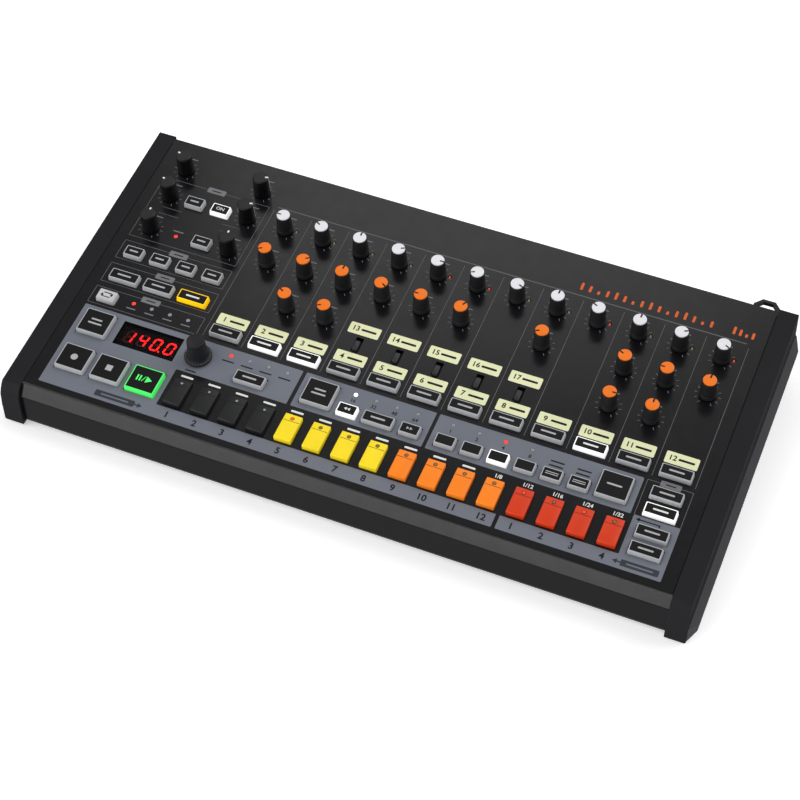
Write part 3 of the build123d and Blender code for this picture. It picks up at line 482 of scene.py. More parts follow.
PANEL_PAINT = Powder("panel_paint", (14, 14, 17), 0.23, specular=0.32)
TRAY_PAINT = Powder("tray_paint", (20, 20, 22), 0.42)
# the cheeks' plastic, with a painted highlight on the rail outside their walls
CHEEK_PLASTIC = Cheek("cheek_plastic", (33, 33, 35), 0.55, 0.06, 22.0, 0.08, grain=0.7, depth=0.02)
KNOB_PLASTIC = Moulded("knob_plastic", (31, 31, 33), 0.5, 0.08, 5.0, 0.2, grain=0.25, depth=0.006)
MAIN_PLASTIC = Moulded("main_knob_plastic", (11, 11, 12), 0.36, 0.08, 5.0, grain=0.25, depth=0.006)
# painted highlight: the main knobs' top, the same black plastic as their side, painted lighter where
# light falls on it
KNOB_TOP_HIGHLIGHT = Moulded("knob_top_painted_highlight", (30, 30, 32), 0.45, 0.08, 5.0, grain=0.25, depth=0.006)
WHITE_CAP = Moulded("white_cap", (224, 224, 229), 0.42, 0.02, 4.0)
ORANGE_CAP = Moulded("orange_cap", (236, 116, 20), 0.42, 0.03, 4.0)
FRAME_GRAY = Moulded("button_frame", (174, 176, 179), 0.4, 0.04, 6.0)
INSERT_BLACK = Moulded("button_insert", (13, 13, 14), 0.4, 0.08, 6.0, 0.2)
ICON_GRAY = Moulded("icon_button", (190, 190, 192), 0.4, 0.04, 6.0)
DARK_KEY = Moulded("dark_key", (25, 26, 26), 0.42, 0.06, 8.0, grain=0.35, depth=0.006)
YELLOW_KEY = Moulded("yellow_key", (246, 218, 30), 0.38, 0.03, 8.0, grain=0.35, depth=0.006)
ORANGE_KEY = Moulded("orange_key", (248, 130, 22), 0.38, 0.03, 8.0, grain=0.35, depth=0.006)
RED_KEY = Moulded("red_key", (207, 54, 10), 0.38, 0.03, 8.0, grain=0.35, depth=0.006)
LEVER_PLASTIC = Moulded("lever_plastic", (44, 44, 46), 0.38, 0.08, 3.0, depth=0.006)
HOOK_PLASTIC = Moulded("hook_plastic", (26, 26, 28), 0.42, 0.08, 8.0, grain=0.6, depth=0.012)
RUBBER = Moulded("rubber", (24, 24, 24), 0.8, 0.1, 4.0, grain=0.6, depth=0.02)
BOARD_GREEN = Finish("board_laminate", (24, 60, 38), 0.45)
CONTROL_BODY = Moulded("control_plastic", (15, 15, 17), grain=0.5, depth=0.012)
SOCKET_BODY = Socketed("jack_plastic", (24, 24, 26))
SHELL_STEEL = Metal("shell_steel", (190, 190, 195), 0.35)
SCREW_STEEL = Metal("screw_steel", (60, 60, 62), 0.4)
WINDOW = Smoked("window_acrylic", (6, 4, 4), 0.3, specular=0.15)
DISPLAY_FACE = Moulded("display_face", (5, 3, 3), 0.6, specular=0.1, grain=0.5, depth=0.012)
LAMP_CLEAR = Moulded("lamp_clear", (132, 134, 142), 0.25, 0.05, 1.0, grain=0.4, depth=0.002, sheen=0.6)
LAMP_WELL = Moulded("lamp_well", (124, 98, 48), 0.3, 0.2, 1.0, grain=0.5, depth=0.012, sheen=0.6)
LIT_RED = Lit("lamp_red", (255, 55, 35), strength=0.9)
LIT_VOICE = Lit("lamp_voice", (225, 70, 30), strength=0.6)
LIT_KEY_LAMP = Lit("lamp_key", (240, 70, 20), strength=0.7)
LIT_WHITE_LAMP = Lit("lamp_white", (245, 245, 255), strength=2.0)
LIT_PALE_LAMP = Lit("lamp_pale", (140, 138, 96), strength=0.25)
LIT_WHITE = Lit("frame_white", (255, 255, 255), strength=0.5)
LIT_YELLOW = Lit("frame_yellow", (255, 196, 10), strength=0.5)
LIT_GREEN = Lit("frame_green", (72, 226, 100), strength=0.5)
DIGIT_RED = Lit("digit_red", (255, 28, 28), strength=2.6)
DIGIT_DARK = Lit("digit_dark", (70, 10, 12), strength=0.35)
FLOOR_WHITE = Lit("floor_white", (245, 245, 245), 0.6, 0.003, 400.0, strength=0.41, waver=0.0)
INK_BLUE_GRAY = Ink("ink_blue_gray", (106, 110, 120), 0.45, 0.03, 40.0)
INK_TAG = Ink("ink_tag", (46, 49, 58), patch=20.0)
INK_DARK = Ink("ink_dark", (22, 23, 28), specular=0.15)
# painted shadow: a dark line in the gap between the panel and a cheek, not ink
SEAM_SHADOW = Ink("painted_seam_shadow", (12, 12, 13), 0.7, specular=0.05)
INK_LINE = Ink("ink_line", (92, 92, 94))
INK_MARK = Ink("ink_mark", (112, 112, 114))
INK_SIGN = Ink("ink_sign", (168, 168, 170))
INK_PILL = Ink("ink_pill", (112, 112, 116))
INK_PALE = Ink("ink_pale", (226, 228, 222), 0.45, 0.03)
INK_PLATE = Ink("ink_plate", (226, 229, 184), 0.45, 0.02)
INK_ORANGE = Ink("ink_orange", (214, 92, 30), 0.45, 0.03)


# ---- outlines


def arc(centre: Point, radii: Point, start: float, turn: float, steps: int = 6) -> list[Point]:
    """Returns points on an arc of an ellipse, both ends included.

    Args:
        centre: Of the ellipse.
        radii: Of the ellipse, along each axis.
        start: Angle of the first point.
        turn: Angle from the first point to the last.
        steps: Runs between the points.

    Returns:
        The points.
    """
    angles = [start + turn * i / steps for i in range(steps + 1)]
    return [(centre[0] + radii[0] * cos(a), centre[1] + radii[1] * sin(a)) for a in angles]


def slope(start: Point, end: Point, steps: int) -> list[Point]:
    """Returns evenly spaced points on a straight run, both ends included."""
    (r1, h1), (r2, h2) = start, end
    return [(r1 + (r2 - r1) * i / steps, h1 + (h2 - h1) * i / steps) for i in range(steps + 1)]


def rounded_rectangle(width: float, length: float, radius: float) -> Outline:
    """Returns a rectangle with round corners about the origin, anticlockwise.

    Args:
        width: Along u.
        length: Along v.
        radius: Of the corners.

    Returns:
        The outline.
    """
    points = []
    for quarter, (right, back) in enumerate(((1, 1), (-1, 1), (-1, -1), (1, -1))):
        centre = (right * (width / 2 - radius), back * (length / 2 - radius))
        points += arc(centre, (radius, radius), pi / 2 * quarter, pi / 2, 4)
    return points


def bar(length: float, thick: float) -> Outline:
    """Returns a bar along u about the origin, with nearly round ends."""
    return rounded_rectangle(length, thick, min(thick / 2 - 0.05, 0.6))


def disc(radius: float, sides: int = 24) -> Outline:
    """Returns a circle about the origin as an outline."""
    return arc((0.0, 0.0), (radius, radius), 0.0, 2 * pi, sides)[:-1]


def softened(corners: Outline, radius: float = 0.8, steps: int = 3) -> Outline:
    """Returns an outline with its corners rounded off.

    Args:
        corners: The corners, in order.
        radius: How far from a corner the rounding starts.
        steps: Runs in each corner's curve.

    Returns:
        The outline with curved corners.
    """
    points = []
    for i, corner in enumerate(corners):
        middle = Vector(corner)
        ends = [Vector(corners[(i + way) % len(corners)]) - middle for way in (-1, 1)]
        first, last = (middle + end.normalized() * min(radius, end.length / 2) for end in ends)
        for step in range(steps + 1):
            t = step / steps
            points.append(tuple(first * (1 - t) ** 2 + middle * 2 * t * (1 - t) + last * t**2))
    return points


def moved(outline: Outline, u: float, v: float, turn: float = 0.0) -> Outline:
    """Returns an outline turned anticlockwise about the origin, then moved to (u, v)."""
    c, s = cos(turn), sin(turn)
    return [(u + x * c - y * s, v + x * s + y * c) for x, y in outline]


def stroke(start: Point, end: Point, width: float) -> Outline:
    """Returns a straight line as an outline.

    Args:
        start: Middle of its first end.
        end: Middle of its other end.
        width: Its width.

    Returns:
        Its four corners.
    """
    a, b = Vector(start), Vector(end)
    across = Vector((a.y - b.y, b.x - a.x)).normalized() * width / 2
    return [tuple(p) for p in (a + across, a - across, b - across, b + across)]


def triangle(reach: float, toward: int) -> Outline:
    """Returns a triangle about the origin that points right (1) or left (-1)."""
    tip, side = toward * reach / 2, reach * 0.6
    return [(-tip, -side), (tip, 0.0), (-tip, side)][::toward]


# ---- forms

CREASE = radians(32)  # an edge stays sharp over this angle
CAPITAL = 0.7  # height of a figure as a share of the size of its type


def stand(name: str, data: bpy.types.ID) -> bpy.types.Object:
    """Adds an object to the scene.

    Args:
        name: Name of the object.
        data: The mesh, light or camera that it holds.

    Returns:
        The object.
    """
    made = bpy.data.objects.new(name, data)
    bpy.context.scene.collection.objects.link(made)
    return made


class Form:
    """A mesh in the making, in millimetres: closed shells, each with its own finish.

    A span is the pair of heights that a flat piece of it lies between.
    """

    def __init__(self) -> None:
        """Starts empty."""
        self.vertices: list[Place] = []
        self.faces: list[Sequence[int]] = []
        self.finishes: list[Finish] = []
        self.slots: list[int] = []

    def _add(self, faces: Sequence[Sequence[int]], finish: Finish) -> None:
        """Adds faces, and their finish if it is new.

        Args:
            faces: Numbers of each face's vertices.
            finish: Their finish.
        """
        if finish not in self.finishes:
            self.finishes.append(finish)
        self.faces.extend(faces)
        self.slots.extend([self.finishes.index(finish)] * len(faces))

    def shell(self, rings: Sequence[Sequence[Place]], finish: Finish) -> None:
        """Adds a closed shell that skins rings and ends in two faces.

        Args:
            rings: Rings of equally many points.
            finish: Its finish.
        """
        first, count = len(self.vertices), len(rings[0])
        last = first + (len(rings) - 1) * count
        self.vertices.extend(tuple(point) for ring in rings for point in ring)
        self._add([range(first, first + count)[::-1]], finish)
        for low in range(first, last, count):
            sides = [(low + i, low + (i + 1) % count) for i in range(count)]
            self._add([(i, j, j + count, i + count) for i, j in sides], finish)
        self._add([range(last, last + count)], finish)

    def stack(self, outlines: Iterable[tuple[Outline, float]], finish: Finish) -> None:
        """Adds a shell through outlines at their heights, from the lowest to the highest."""
        self.shell([[(u, v, h) for u, v in outline] for outline, h in outlines], finish)

    def prism(self, outline: Outline, span: Point, finish: Finish) -> None:
        """Adds an upright prism on an outline."""
        self.stack([(outline, height) for height in span], finish)

    def tapered(
        self,
        size: Point,
        corner: float,
        levels: Sequence[Point],
        at: Point,
        finish: Finish,
        shrink: float = 0.5,
    ) -> None:
        """Adds an upright block with round corners.

        Args:
            size: Width and length where the inset is nought.
            corner: Radius of the corners there.
            levels: Inset and height of each outline, from the lowest.
            at: Place of its middle.
            finish: Its finish.
            shrink: Share of the inset that comes off the corners' radius.
        """
        outlines = []
        for inset, height in levels:
            width, length = (side - 2 * inset for side in size)
            radius = max(0.15, corner - shrink * inset)
            outlines.append((moved(rounded_rectangle(width, length, radius), *at), height))
        self.stack(outlines, finish)

    def turned(
        self,
        profile: Sequence[Point],
        finish: Finish,
        at: Point = (0.0, 0.0),
        sides: int = 32,
        flutes: Callable[[float, float], float] | None = None,
    ) -> None:
        """Adds a turned shell.

        Args:
            profile: Radius and height of each ring, from the lowest.
            finish: Its finish.
            at: Place of its axis.
            sides: Number of sides.
            flutes: Share of the radius at an angle and height, for a fluted surface.
        """
        angles = [2 * pi * i / sides for i in range(sides)]
        rings = []
        for radius, height in profile:
            reaches = [radius * (flutes(angle, height) if flutes else 1.0) for angle in angles]
            ring = [(at[0] + r * cos(a), at[1] + r * sin(a), height) for a, r in zip(angles, reaches)]
            rings.append(ring)
        self.shell(rings, finish)

    def _take(self, curve: bpy.types.Curve, at: Point, span: Point, finish: Finish) -> None:
        """Adds the faces of a curve, and removes the curve.

        Args:
            curve: The curve.
            at: Where it goes.
            span: Heights of its underside and its face.
            finish: Its finish.
        """
        curve.extrude = (span[1] - span[0]) / 2
        holder = bpy.data.objects.new("holder", curve)
        mesh = bpy.data.meshes.new_from_object(holder)
        first, shift = len(self.vertices), Vector((*at, sum(span) / 2))
        self.vertices.extend(tuple(vertex.co + shift) for vertex in mesh.vertices)
        self._add([[first + i for i in face.vertices] for face in mesh.polygons], finish)
        bpy.data.objects.remove(holder)
        bpy.data.meshes.remove(mesh)
        bpy.data.curves.remove(curve)

    def filled(self, outlines: Sequence[Outline], span: Point, finish: Finish) -> None:
        """Adds a flat area that any inner outlines cut openings in.

        Args:
            outlines: The outer outline and the inner ones.
            span: Heights of its underside and its face.
            finish: Its finish.
        """
        curve = bpy.data.curves.new("area", "CURVE")
        curve.dimensions, curve.fill_mode = "2D", "BOTH"
        for outline in outlines:
            spline = curve.splines.new("POLY")
            spline.points.add(len(outline) - 1)
            for point, (u, v) in zip(spline.points, outline):
                point.co = (u, v, 0.0, 1.0)
            spline.use_cyclic_u = True
        self._take(curve, (0.0, 0.0), span, finish)

    def text(
        self, words: str, at: Point, size: float, span: Point, finish: Finish, weight: float
    ) -> None:
        """Adds figures or ON, centred on a place.

        Args:
            words: What is written.
            at: The middle of it.
            size: Height of a figure.
            span: Heights of its underside and its face.
            finish: Its finish.
            weight: How far each stroke is widened, on either side.
        """
        curve = bpy.data.curves.new("figures", "FONT")
        curve.body, curve.size, curve.offset = words, size / CAPITAL, weight
        curve.align_x, curve.align_y, curve.resolution_u = "CENTER", "CENTER", 3
        self._take(curve, at, span, finish)

    def build(
        self, name: str, body: str, slot: str, replaces: Sequence[str] = (), matrix: Matrix = PANEL
    ) -> None:
        """Makes the piece.

        Args:
            name: Name of the piece.
            body: The frame's body that it rides on.
            slot: The record's material slot; not used.
            replaces: The frame's nodes that it stands for.
            matrix: From the form's place to the world.
        """
        mesh = bpy.data.meshes.new(name)
        mesh.from_pydata(self.vertices, [], self.faces)
        mesh.transform(matrix)
        for finish in self.finishes:
            mesh.materials.append(finish.make())
        mesh.polygons.foreach_set("material_index", self.slots)
        mesh.polygons.foreach_set("use_smooth", [True] * len(self.faces))
        mesh.update()
        mesh.set_sharp_from_angle(angle=CREASE)
        made = stand(name, mesh)
        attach(made, body)
        if replaces:
            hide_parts(*replaces)
        LOG.info("%s: %d faces on %s", name, len(self.faces), body)

    def dress(self, name: str, slot: str, matrix: Matrix = PANEL) -> None:
        """Makes the piece that stands for the frame's node and rides on its body of one name."""
        self.build(name + "_dressed", name, slot, [name], matrix)


# ---- push buttons


class Sign(Enum):
    """What is printed on a button."""

    BARE = auto()
    ONE_BAR = auto()
    TWO_BARS = auto()
    LINE = auto()
    ON = auto()
    RECORD = auto()
    STOP = auto()
    PLAY = auto()
    BACK = auto()
    NEXT = auto()
    REPEAT = auto()


class Light(Enum):
    """How a button's frame is lit, with the finish of its frame and of its sign."""

    DARK = (FRAME_GRAY, INK_SIGN)
    WHITE = (LIT_WHITE, INK_PALE)
    YELLOW = (LIT_YELLOW, INK_PALE)
    GREEN = (LIT_GREEN, LIT_GREEN)


def sign_outlines(sign: Sign, width: float) -> list[Outline]:
    """Returns the outlines of a sign about the origin.

    Args:
        sign: Which sign.
        width: Width of the button that carries it.

    Returns:
        Closed outlines that do not overlap.
    """
    share, thick, line = 0.47, 1.3, 0.75
    match sign:
        case Sign.ONE_BAR:
            return [bar(share * width, thick)]
        case Sign.TWO_BARS:
            bars = ((0.8 * share, 1.7), (share, -1.7))
            return [moved(bar(part * width, thick), 0, v) for part, v in bars]
        case Sign.LINE:
            return [moved(bar(width * 0.62, 0.6), 0, v) for v in (0.75, -0.75)]
        case Sign.RECORD:
            return [disc(2.5)]
        case Sign.STOP:
            return [rounded_rectangle(4.6, 4.6, 0.2)]
        case Sign.PLAY:
            bars = [moved(rounded_rectangle(1.1, 4.6, 0.1), u, 0) for u in (-5.0, -2.9)]
            return bars + [stroke((-1.2, -2.2), (0.4, 2.2), 0.55), moved(triangle(4.4, 1), 3.6, 0)]
        case Sign.BACK | Sign.NEXT:
            toward = 1 if sign is Sign.NEXT else -1
            return [moved(triangle(2.0, toward), u, 0) for u in (-1.15, 1.15)]
        case Sign.REPEAT:
            half = [stroke((-2.9, 1.7), (2.9, 1.7), line), stroke((3.4, 2.05), (3.4, 0.3), line)]
            half.append(moved(triangle(2.1, -1), 3.4, 0.0, pi / 2))
            return [moved(outline, 0, 0, turn) for turn in (0.0, pi) for outline in half]
    return []


@dataclass
class ButtonSet:
    """Push buttons of one mould: a tapered frame round a dark insert with a sign on it."""

    name: str
    spots: list[Point]
    size: Point
    signs: list[Sign]
    lights: dict[int, Light] = field(default_factory=dict)
    pale: tuple[int, ...] = ()  # buttons whose insert is as light as the frame
    foot: float = -1.7
    top: float = 3.5
    draft: float = 0.4
    edge: float = 0.3
    rim: float = 0.8
    bevel: float = 0.12  # of the rim's inner edge and of the insert
    pad: float = 0.25  # how far the insert stands out of the frame
    corner: float = 0.9
    insert_corner: float = 0.5

    def build(self) -> None:
        """Builds frames, inserts and signs as one piece."""
        form = Form()
        inner, face = self.draft + self.rim, self.top + self.pad
        soft = self.edge * 0.3
        frame_levels = [(0.0, self.foot), (0.0, 0.0), (self.draft, self.top - self.edge)]
        frame_levels += [(self.draft + soft, self.top - soft), (self.draft + self.edge, self.top)]
        frame_levels += [(inner - 0.1, self.top), (inner, self.top - self.bevel)]
        insert_levels = [(inner, self.top - 0.3), (inner, face - self.bevel)]
        insert_levels.append((inner + self.bevel, face))
        span = (face - 0.05, face + 0.03)
        for index, (spot, sign) in enumerate(zip(self.spots, self.signs)):
            frame_finish, sign_finish = self.lights.get(index, Light.DARK).value
            insert_finish = INSERT_BLACK
            if index in self.pale:
                frame_finish, insert_finish, sign_finish = ICON_GRAY, ICON_GRAY, INK_DARK
            form.tapered(self.size, self.corner, frame_levels, spot, frame_finish)
            form.tapered(self.size, self.insert_corner, insert_levels, spot, insert_finish)
            for outline in sign_outlines(sign, self.size[0]):
                form.prism(moved(outline, *spot), span, sign_finish)
            if sign is Sign.ON:
                form.text("ON", spot, 2.8, span, sign_finish, 0.03)
        form.dress(self.name, "button_plastic")


# ---- knobs

KNOB_GAP = 0.8  # between a knob and the panel
RIB_DEPTH = 0.02  # as a share of the radius


def ribs(count: int, power: int, low: float, high: float) -> Callable[[float, float], float]:
    """Returns the flutes of a grip.

    Args:
        count: Number of ribs.
        power: The larger it is, the narrower is the groove between two of them.
        low: Height over which the ribs start.
        high: Height at which they end.

    Returns:
        A function that gives the share of the radius at an angle and height.
    """

    def share(angle: float, height: float) -> float:
        """Returns the share of the radius at a place on the grip."""
        groove = (0.5 + 0.5 * cos(count * angle)) ** power
        return 1 - RIB_DEPTH * groove if low < height < high else 1.0

    return share


@dataclass
class Knobs:
    """Knobs of one kind, each on a body of its own."""

    names: str  # with a place for the number, if there are several
    spots: Sequence[Point]
    marks: Sequence[float]

    def shape(self) -> Form:
        """Returns one knob about the origin, whose mark points to the back."""
        raise NotImplementedError

    def build(self) -> None:
        """Builds every knob as one piece."""
        for number, (spot, mark) in enumerate(zip(self.spots, self.marks), 1):
            turn = Matrix.Rotation(-radians(mark), 4, "Z")
            place = PANEL @ Matrix.Translation((*spot, 0)) @ turn
            self.shape().dress(self.names.format(number), "knob_plastic", place)


@dataclass
class CappedKnobs(Knobs):
    """Knobs with a skirt, a fluted grip and a coloured cap with a notch for its mark."""

    cap: Finish
    top: float = 16.9
    radius: float = 5.0
    grip: float = 5.75  # radius at the grip's foot
    skirt: float = 6.0
    skirt_height: float = 3.0
    cap_height: float = 1.2
    mark: float = 1.2

    def profile(self) -> list[Point]:
        """Lays out the skirt and grip.

        Returns:
            Radius and height of each ring, from the lowest.
        """
        shoulder, crown = KNOB_GAP + self.skirt_height, self.top - self.cap_height
        skirt = [(self.skirt - 0.25, KNOB_GAP), (self.skirt, KNOB_GAP + 0.25)]
        skirt += [(self.skirt - 0.2, shoulder - 0.3), (self.skirt - 0.4, shoulder - 0.05)]
        foot = [(self.grip - 0.25, shoulder), (self.grip - 0.1, shoulder + 0.35)]
        sides = slope((self.grip - 0.05, shoulder + 0.6), (self.radius, crown - 0.5), 6)
        rim = [(self.radius - 0.08, crown - 0.2), (self.radius - 0.32, crown)]
        rim += [(self.radius - 0.62, crown), (self.radius - 0.62, crown + 0.35)]
        return skirt + foot + sides + rim

    def notched(self, inset: float) -> Outline:
        """Lays out the cap with the slot of its mark.

        Args:
            inset: How far the outline lies within the cap's own.

        Returns:
            The outline.
        """
        reach, half = self.radius - 0.38 - inset, self.mark / 2 + inset
        gap = half / reach
        outer = arc((0.0, 0.0), (reach, reach), pi / 2 + gap, 2 * (pi - gap), 48)
        return outer + arc((0.0, 0.42 * self.radius), (half, half), 0.0, -pi)

    def shape(self) -> Form:
        """Makes one knob.

        Returns:
            The knob about the origin, whose mark points to the back.
        """
        form = Form()
        flutes = ribs(24, 3, KNOB_GAP + self.skirt_height + 0.5, self.top - 2.0)
        form.turned(self.profile(), KNOB_PLASTIC, sides=96, flutes=flutes)
        foot = self.top - self.cap_height + 0.35
        levels = ((0.0, foot), (0.0, self.top - 0.2), (0.06, self.top - 0.06), (0.2, self.top))
        form.stack([(self.notched(inset), height) for inset, height in levels], self.cap)
        bed = self.radius - 0.7
        form.turned([(bed, foot), (bed, self.top - 0.45)], KNOB_PLASTIC)
        return form


@dataclass
class MainKnobs(Knobs):
    """Plain black knobs with a rounded rim, a painted highlight on the top and a white mark that runs
    on down their side.
    """

    top: float = 16.6
    radius: float = 5.7
    foot: float = 6.1
    rim: float = 0.9
    mark: float = 1.2  # width of the mark on the top
    line: float = 0.55  # and of the line down the side
    lift: float = 0.04  # of the mark off the knob

    def profile(self) -> list[Point]:
        """Lays out the side view.

        Returns:
            Radius and height of each ring, from the foot up over the rim.
        """
        start = [(self.foot, KNOB_GAP + 0.2), (self.radius, self.top - self.rim)]
        centre = (self.radius - self.rim, self.top - self.rim)
        return start + arc(centre, (self.rim, self.rim), 0.0, pi / 2)[1:]

    def stripe(self) -> list[list[Place]]:
        """Lays out the mark, which lies over the profile.

        Returns:
            Its rings, from the middle of the top down to the foot.
        """
        path = [(self.radius * 0.6, self.top), *self.profile()[:0:-1], (self.foot, KNOB_GAP + 1.5)]
        rings = []
        for reach, height in path:
            half = (self.mark if height > self.top - 0.3 else self.line) / 2
            side = max(0.0, min(1.0, (self.top - height) / self.rim))
            out, rise = self.lift * side, self.lift * (1 - side)
            over = [(u, reach + out, height + rise) for u in (half, -half)]
            rings.append(over + [(u, reach - 3 * out, height - 3 * rise) for u in (-half, half)])
        return rings

    def shape(self) -> Form:
        """Makes one knob.

        Returns:
            The knob about the origin, whose mark points to the back.
        """
        form = Form()
        form.turned([(self.foot - 0.25, KNOB_GAP), *self.profile()], MAIN_PLASTIC, sides=64)
        # painted highlight: a lighter disc over the top of the knob
        inner = self.radius - self.rim - 0.1
        form.turned([(inner, self.top - 0.1), (inner, self.top + 0.02)], KNOB_TOP_HIGHLIGHT)
        form.shell(self.stripe(), INK_PALE)
        return form


@dataclass
class DataWheel(Knobs):
    """Endless wheel with a flared base that carries a ring of dots."""

    top: float = 18.5
    radius: float = 6.2
    waist: float = 6.7
    base: float = 9.6
    base_height: float = 1.6
    flare: float = 5.0
    dots: int = 28
    dot: float = 0.33

    def shape(self) -> Form:
        """Makes the wheel.

        Returns:
            The wheel about the origin.
        """
        form = Form()
        shoulder = KNOB_GAP + self.base_height
        low = shoulder + self.flare
        profile = [(self.base - 0.3, KNOB_GAP), (self.base, KNOB_GAP + 0.3)]
        profile += [(self.base, shoulder - 0.3), (self.base - 0.12, shoulder - 0.1)]
        profile.append((self.base - 0.4, shoulder))
        start = self.base - 1.7
        profile += arc((start, low), (start - self.waist, self.flare - 0.05), 1.5 * pi, -pi / 2)
        profile += slope((self.waist, low), (self.radius, self.top - 0.8), 4)[1:]
        profile += [(self.radius - 0.1, self.top - 0.3), (self.radius - 0.5, self.top)]
        profile += [(self.radius - 0.9, self.top), (self.radius - 1.4, self.top - 0.3)]
        form.turned(profile, KNOB_PLASTIC, sides=120, flutes=ribs(30, 2, low + 0.1, self.top - 1.0))
        for at in disc(self.base - 0.95, self.dots):
            span = (shoulder - 0.05, shoulder + 0.04)
            form.prism(moved(disc(self.dot, 10), *at), span, INK_MARK)
        return form


# ---- step keys


@dataclass
class StepKeys:
    """Step keys of one colour, each with a lamp in a well near its back."""

    colour: str
    columns: list[float]
    finish: Finish
    lit: tuple[int, ...] = ()
    width: float = 12.3
    front: float = STEP_ROW - 10.5
    back: float = STEP_ROW + 10.5
    bend: float = STEP_ROW + 5.0  # where the top starts to slope down to the back
    lamp: float = STEP_ROW + 7.3
    foot: float = -3.2
    front_top: float = 3.6
    bend_top: float = 3.2
    back_top: float = 2.7
    nose: float = 1.0
    edge: float = 0.45
    line: float = 0.35  # width of the crease
    well: float = 1.5
    lens: float = 0.95
    # painted shade: the crease and the lamp's well get a darker copy of the key's colour in place of
    # their shade
    shade: float = 0.42  # of crease and well, as a share of the key's colour

    def lie(self, v: float) -> float:
        """Returns the height of the sloping back part of a key's top at v."""
        share = (v - self.bend) / (self.back - self.bend)
        return self.bend_top + (self.back_top - self.bend_top) * share

    def inlay(self, form: Form, profile: Sequence[Point], at: Point, finish: Finish) -> None:
        """Adds a turned inlay to the sloping back part of a key.

        Args:
            form: The keys.
            profile: Radius of each ring and its height over the slope.
            at: Place of its axis.
            finish: Its finish.
        """
        rings = []
        for reach, height in profile:
            rings.append([(u, v, self.lie(v) + height) for u, v in moved(disc(reach, 20), *at)])
        form.shell(rings, finish)

    def side(self, inset: float) -> list[Point]:
        """Lays out a key's side view.

        Args:
            inset: How far it lies within the key's own, above the foot.

        Returns:
            The outline, as (v, h).
        """
        front, back, nose = self.front + inset, self.back - inset, self.nose - inset / 2
        points = [(back, self.foot), (back, self.back_top - inset), (self.bend, self.bend_top - inset)]
        centre = (front + nose, self.front_top - inset - nose)
        return points + arc(centre, (nose, nose), pi / 2, pi / 2) + [(front, self.foot)]

    def build(self) -> None:
        """Builds the keys and their lamps, with painted shade in each crease and well, as one piece.
        """
        form = Form()
        # painted shade: a darker copy of the key's colour for the crease and the well
        shade = tuple(c * self.shade for c in self.finish.colour)
        dark = replace(self.finish, name=self.finish.name + "_line", colour=shade)
        unlit = LAMP_CLEAR if self.finish is DARK_KEY else LAMP_WELL
        half = self.width / 2
        soft = self.edge * 0.3
        ends = [(-half, self.edge), (soft - half, soft), (self.edge - half, 0.0)]
        ends += [(-across, inset) for across, inset in ends[::-1]]
        strip = rounded_rectangle(2 * (half - self.edge), self.line, 0.1)
        for index, column in enumerate(self.columns):
            rings = [[(column + across, v, h) for v, h in self.side(inset)] for across, inset in ends]
            form.shell(rings, self.finish)
            # painted shade: a darker strip along the crease
            span = (self.bend_top - 0.1, self.bend_top + 0.06)
            form.prism(moved(strip, column, self.bend), span, dark)
            at = (column, self.lamp)
            # painted shade: a darker disc for the well round the lamp
            self.inlay(form, [(self.well, -0.5), (self.well, 0.03), (self.well - 0.1, 0.06)], at, dark)
            dome = [(self.lens, -0.5), (self.lens, 0.1), (0.7, 0.18), (0.4, 0.22)]
            self.inlay(form, dome, at, LIT_KEY_LAMP if index in self.lit else unlit)
        form.dress(f"{self.colour}_step_keys", f"{self.colour}_key_plastic")


# ---- lamps, levers and display


@dataclass
class Lamps:
    """Domed lamps in the panel, a few of them lit."""

    foot: float = -2.0
    radius: float = 1.35
    voice_radius: float = 0.7  # of the lamps beside the level knobs
    lit_voices: tuple[int, ...] = (4, 5, 8, 11)

    def dome(self, form: Form, spot: Point, radius: float, finish: Finish) -> None:
        """Adds one lamp."""
        profile = [(1.0, self.foot), (1.0, 0.1), (0.85, 0.25), (0.55, 0.35), (0.2, 0.4)]
        form.turned([(radius * share, height) for share, height in profile], finish, spot, 20)

    def build(self) -> None:
        """Builds all lamps as one piece."""
        form = Form()
        fx_lamp = (FX_LAMP, FX_ROW)
        lit = dict.fromkeys([SYNC_LAMPS[0], fx_lamp, DATA_LAMPS[0], PAGE_LAMPS[2]], LIT_RED)
        lit[LENGTH_LAMPS[0]] = LIT_WHITE_LAMP
        for spot in SYNC_LAMPS + [fx_lamp] + DATA_LAMPS + LENGTH_LAMPS + PAGE_LAMPS:
            self.dome(form, spot, self.radius, lit.get(spot, LAMP_CLEAR))
        for index, spot in enumerate(VOICE_LAMPS):
            finish = LIT_VOICE if index in self.lit_voices else LIT_PALE_LAMP
            self.dome(form, spot, self.voice_radius, finish)
        form.build("lamps_dressed", "case", "lamp_plastic", ["status_lamps"])


@dataclass
class SlideLevers:
    """Levers of the slide switches, at the front end of their slots."""

    size: Point = (3.6, 7.4)
    corner: float = 0.4
    stroke: float = 4.0
    foot: float = -3.0
    top: float = 2.5

    def build(self) -> None:
        """Builds the levers as one piece."""
        form = Form()
        levels = [(0.0, self.foot), (0.0, self.top - 0.3), (0.1, self.top - 0.1), (0.3, self.top)]
        for u, v in voices(SLIDE_ROW, SLIDE_VOICES):
            at = (u, v - self.stroke / 2)
            form.tapered(self.size, self.corner, levels, at, LEVER_PLASTIC, shrink=0.0)
        form.dress("slide_levers", "button_plastic")


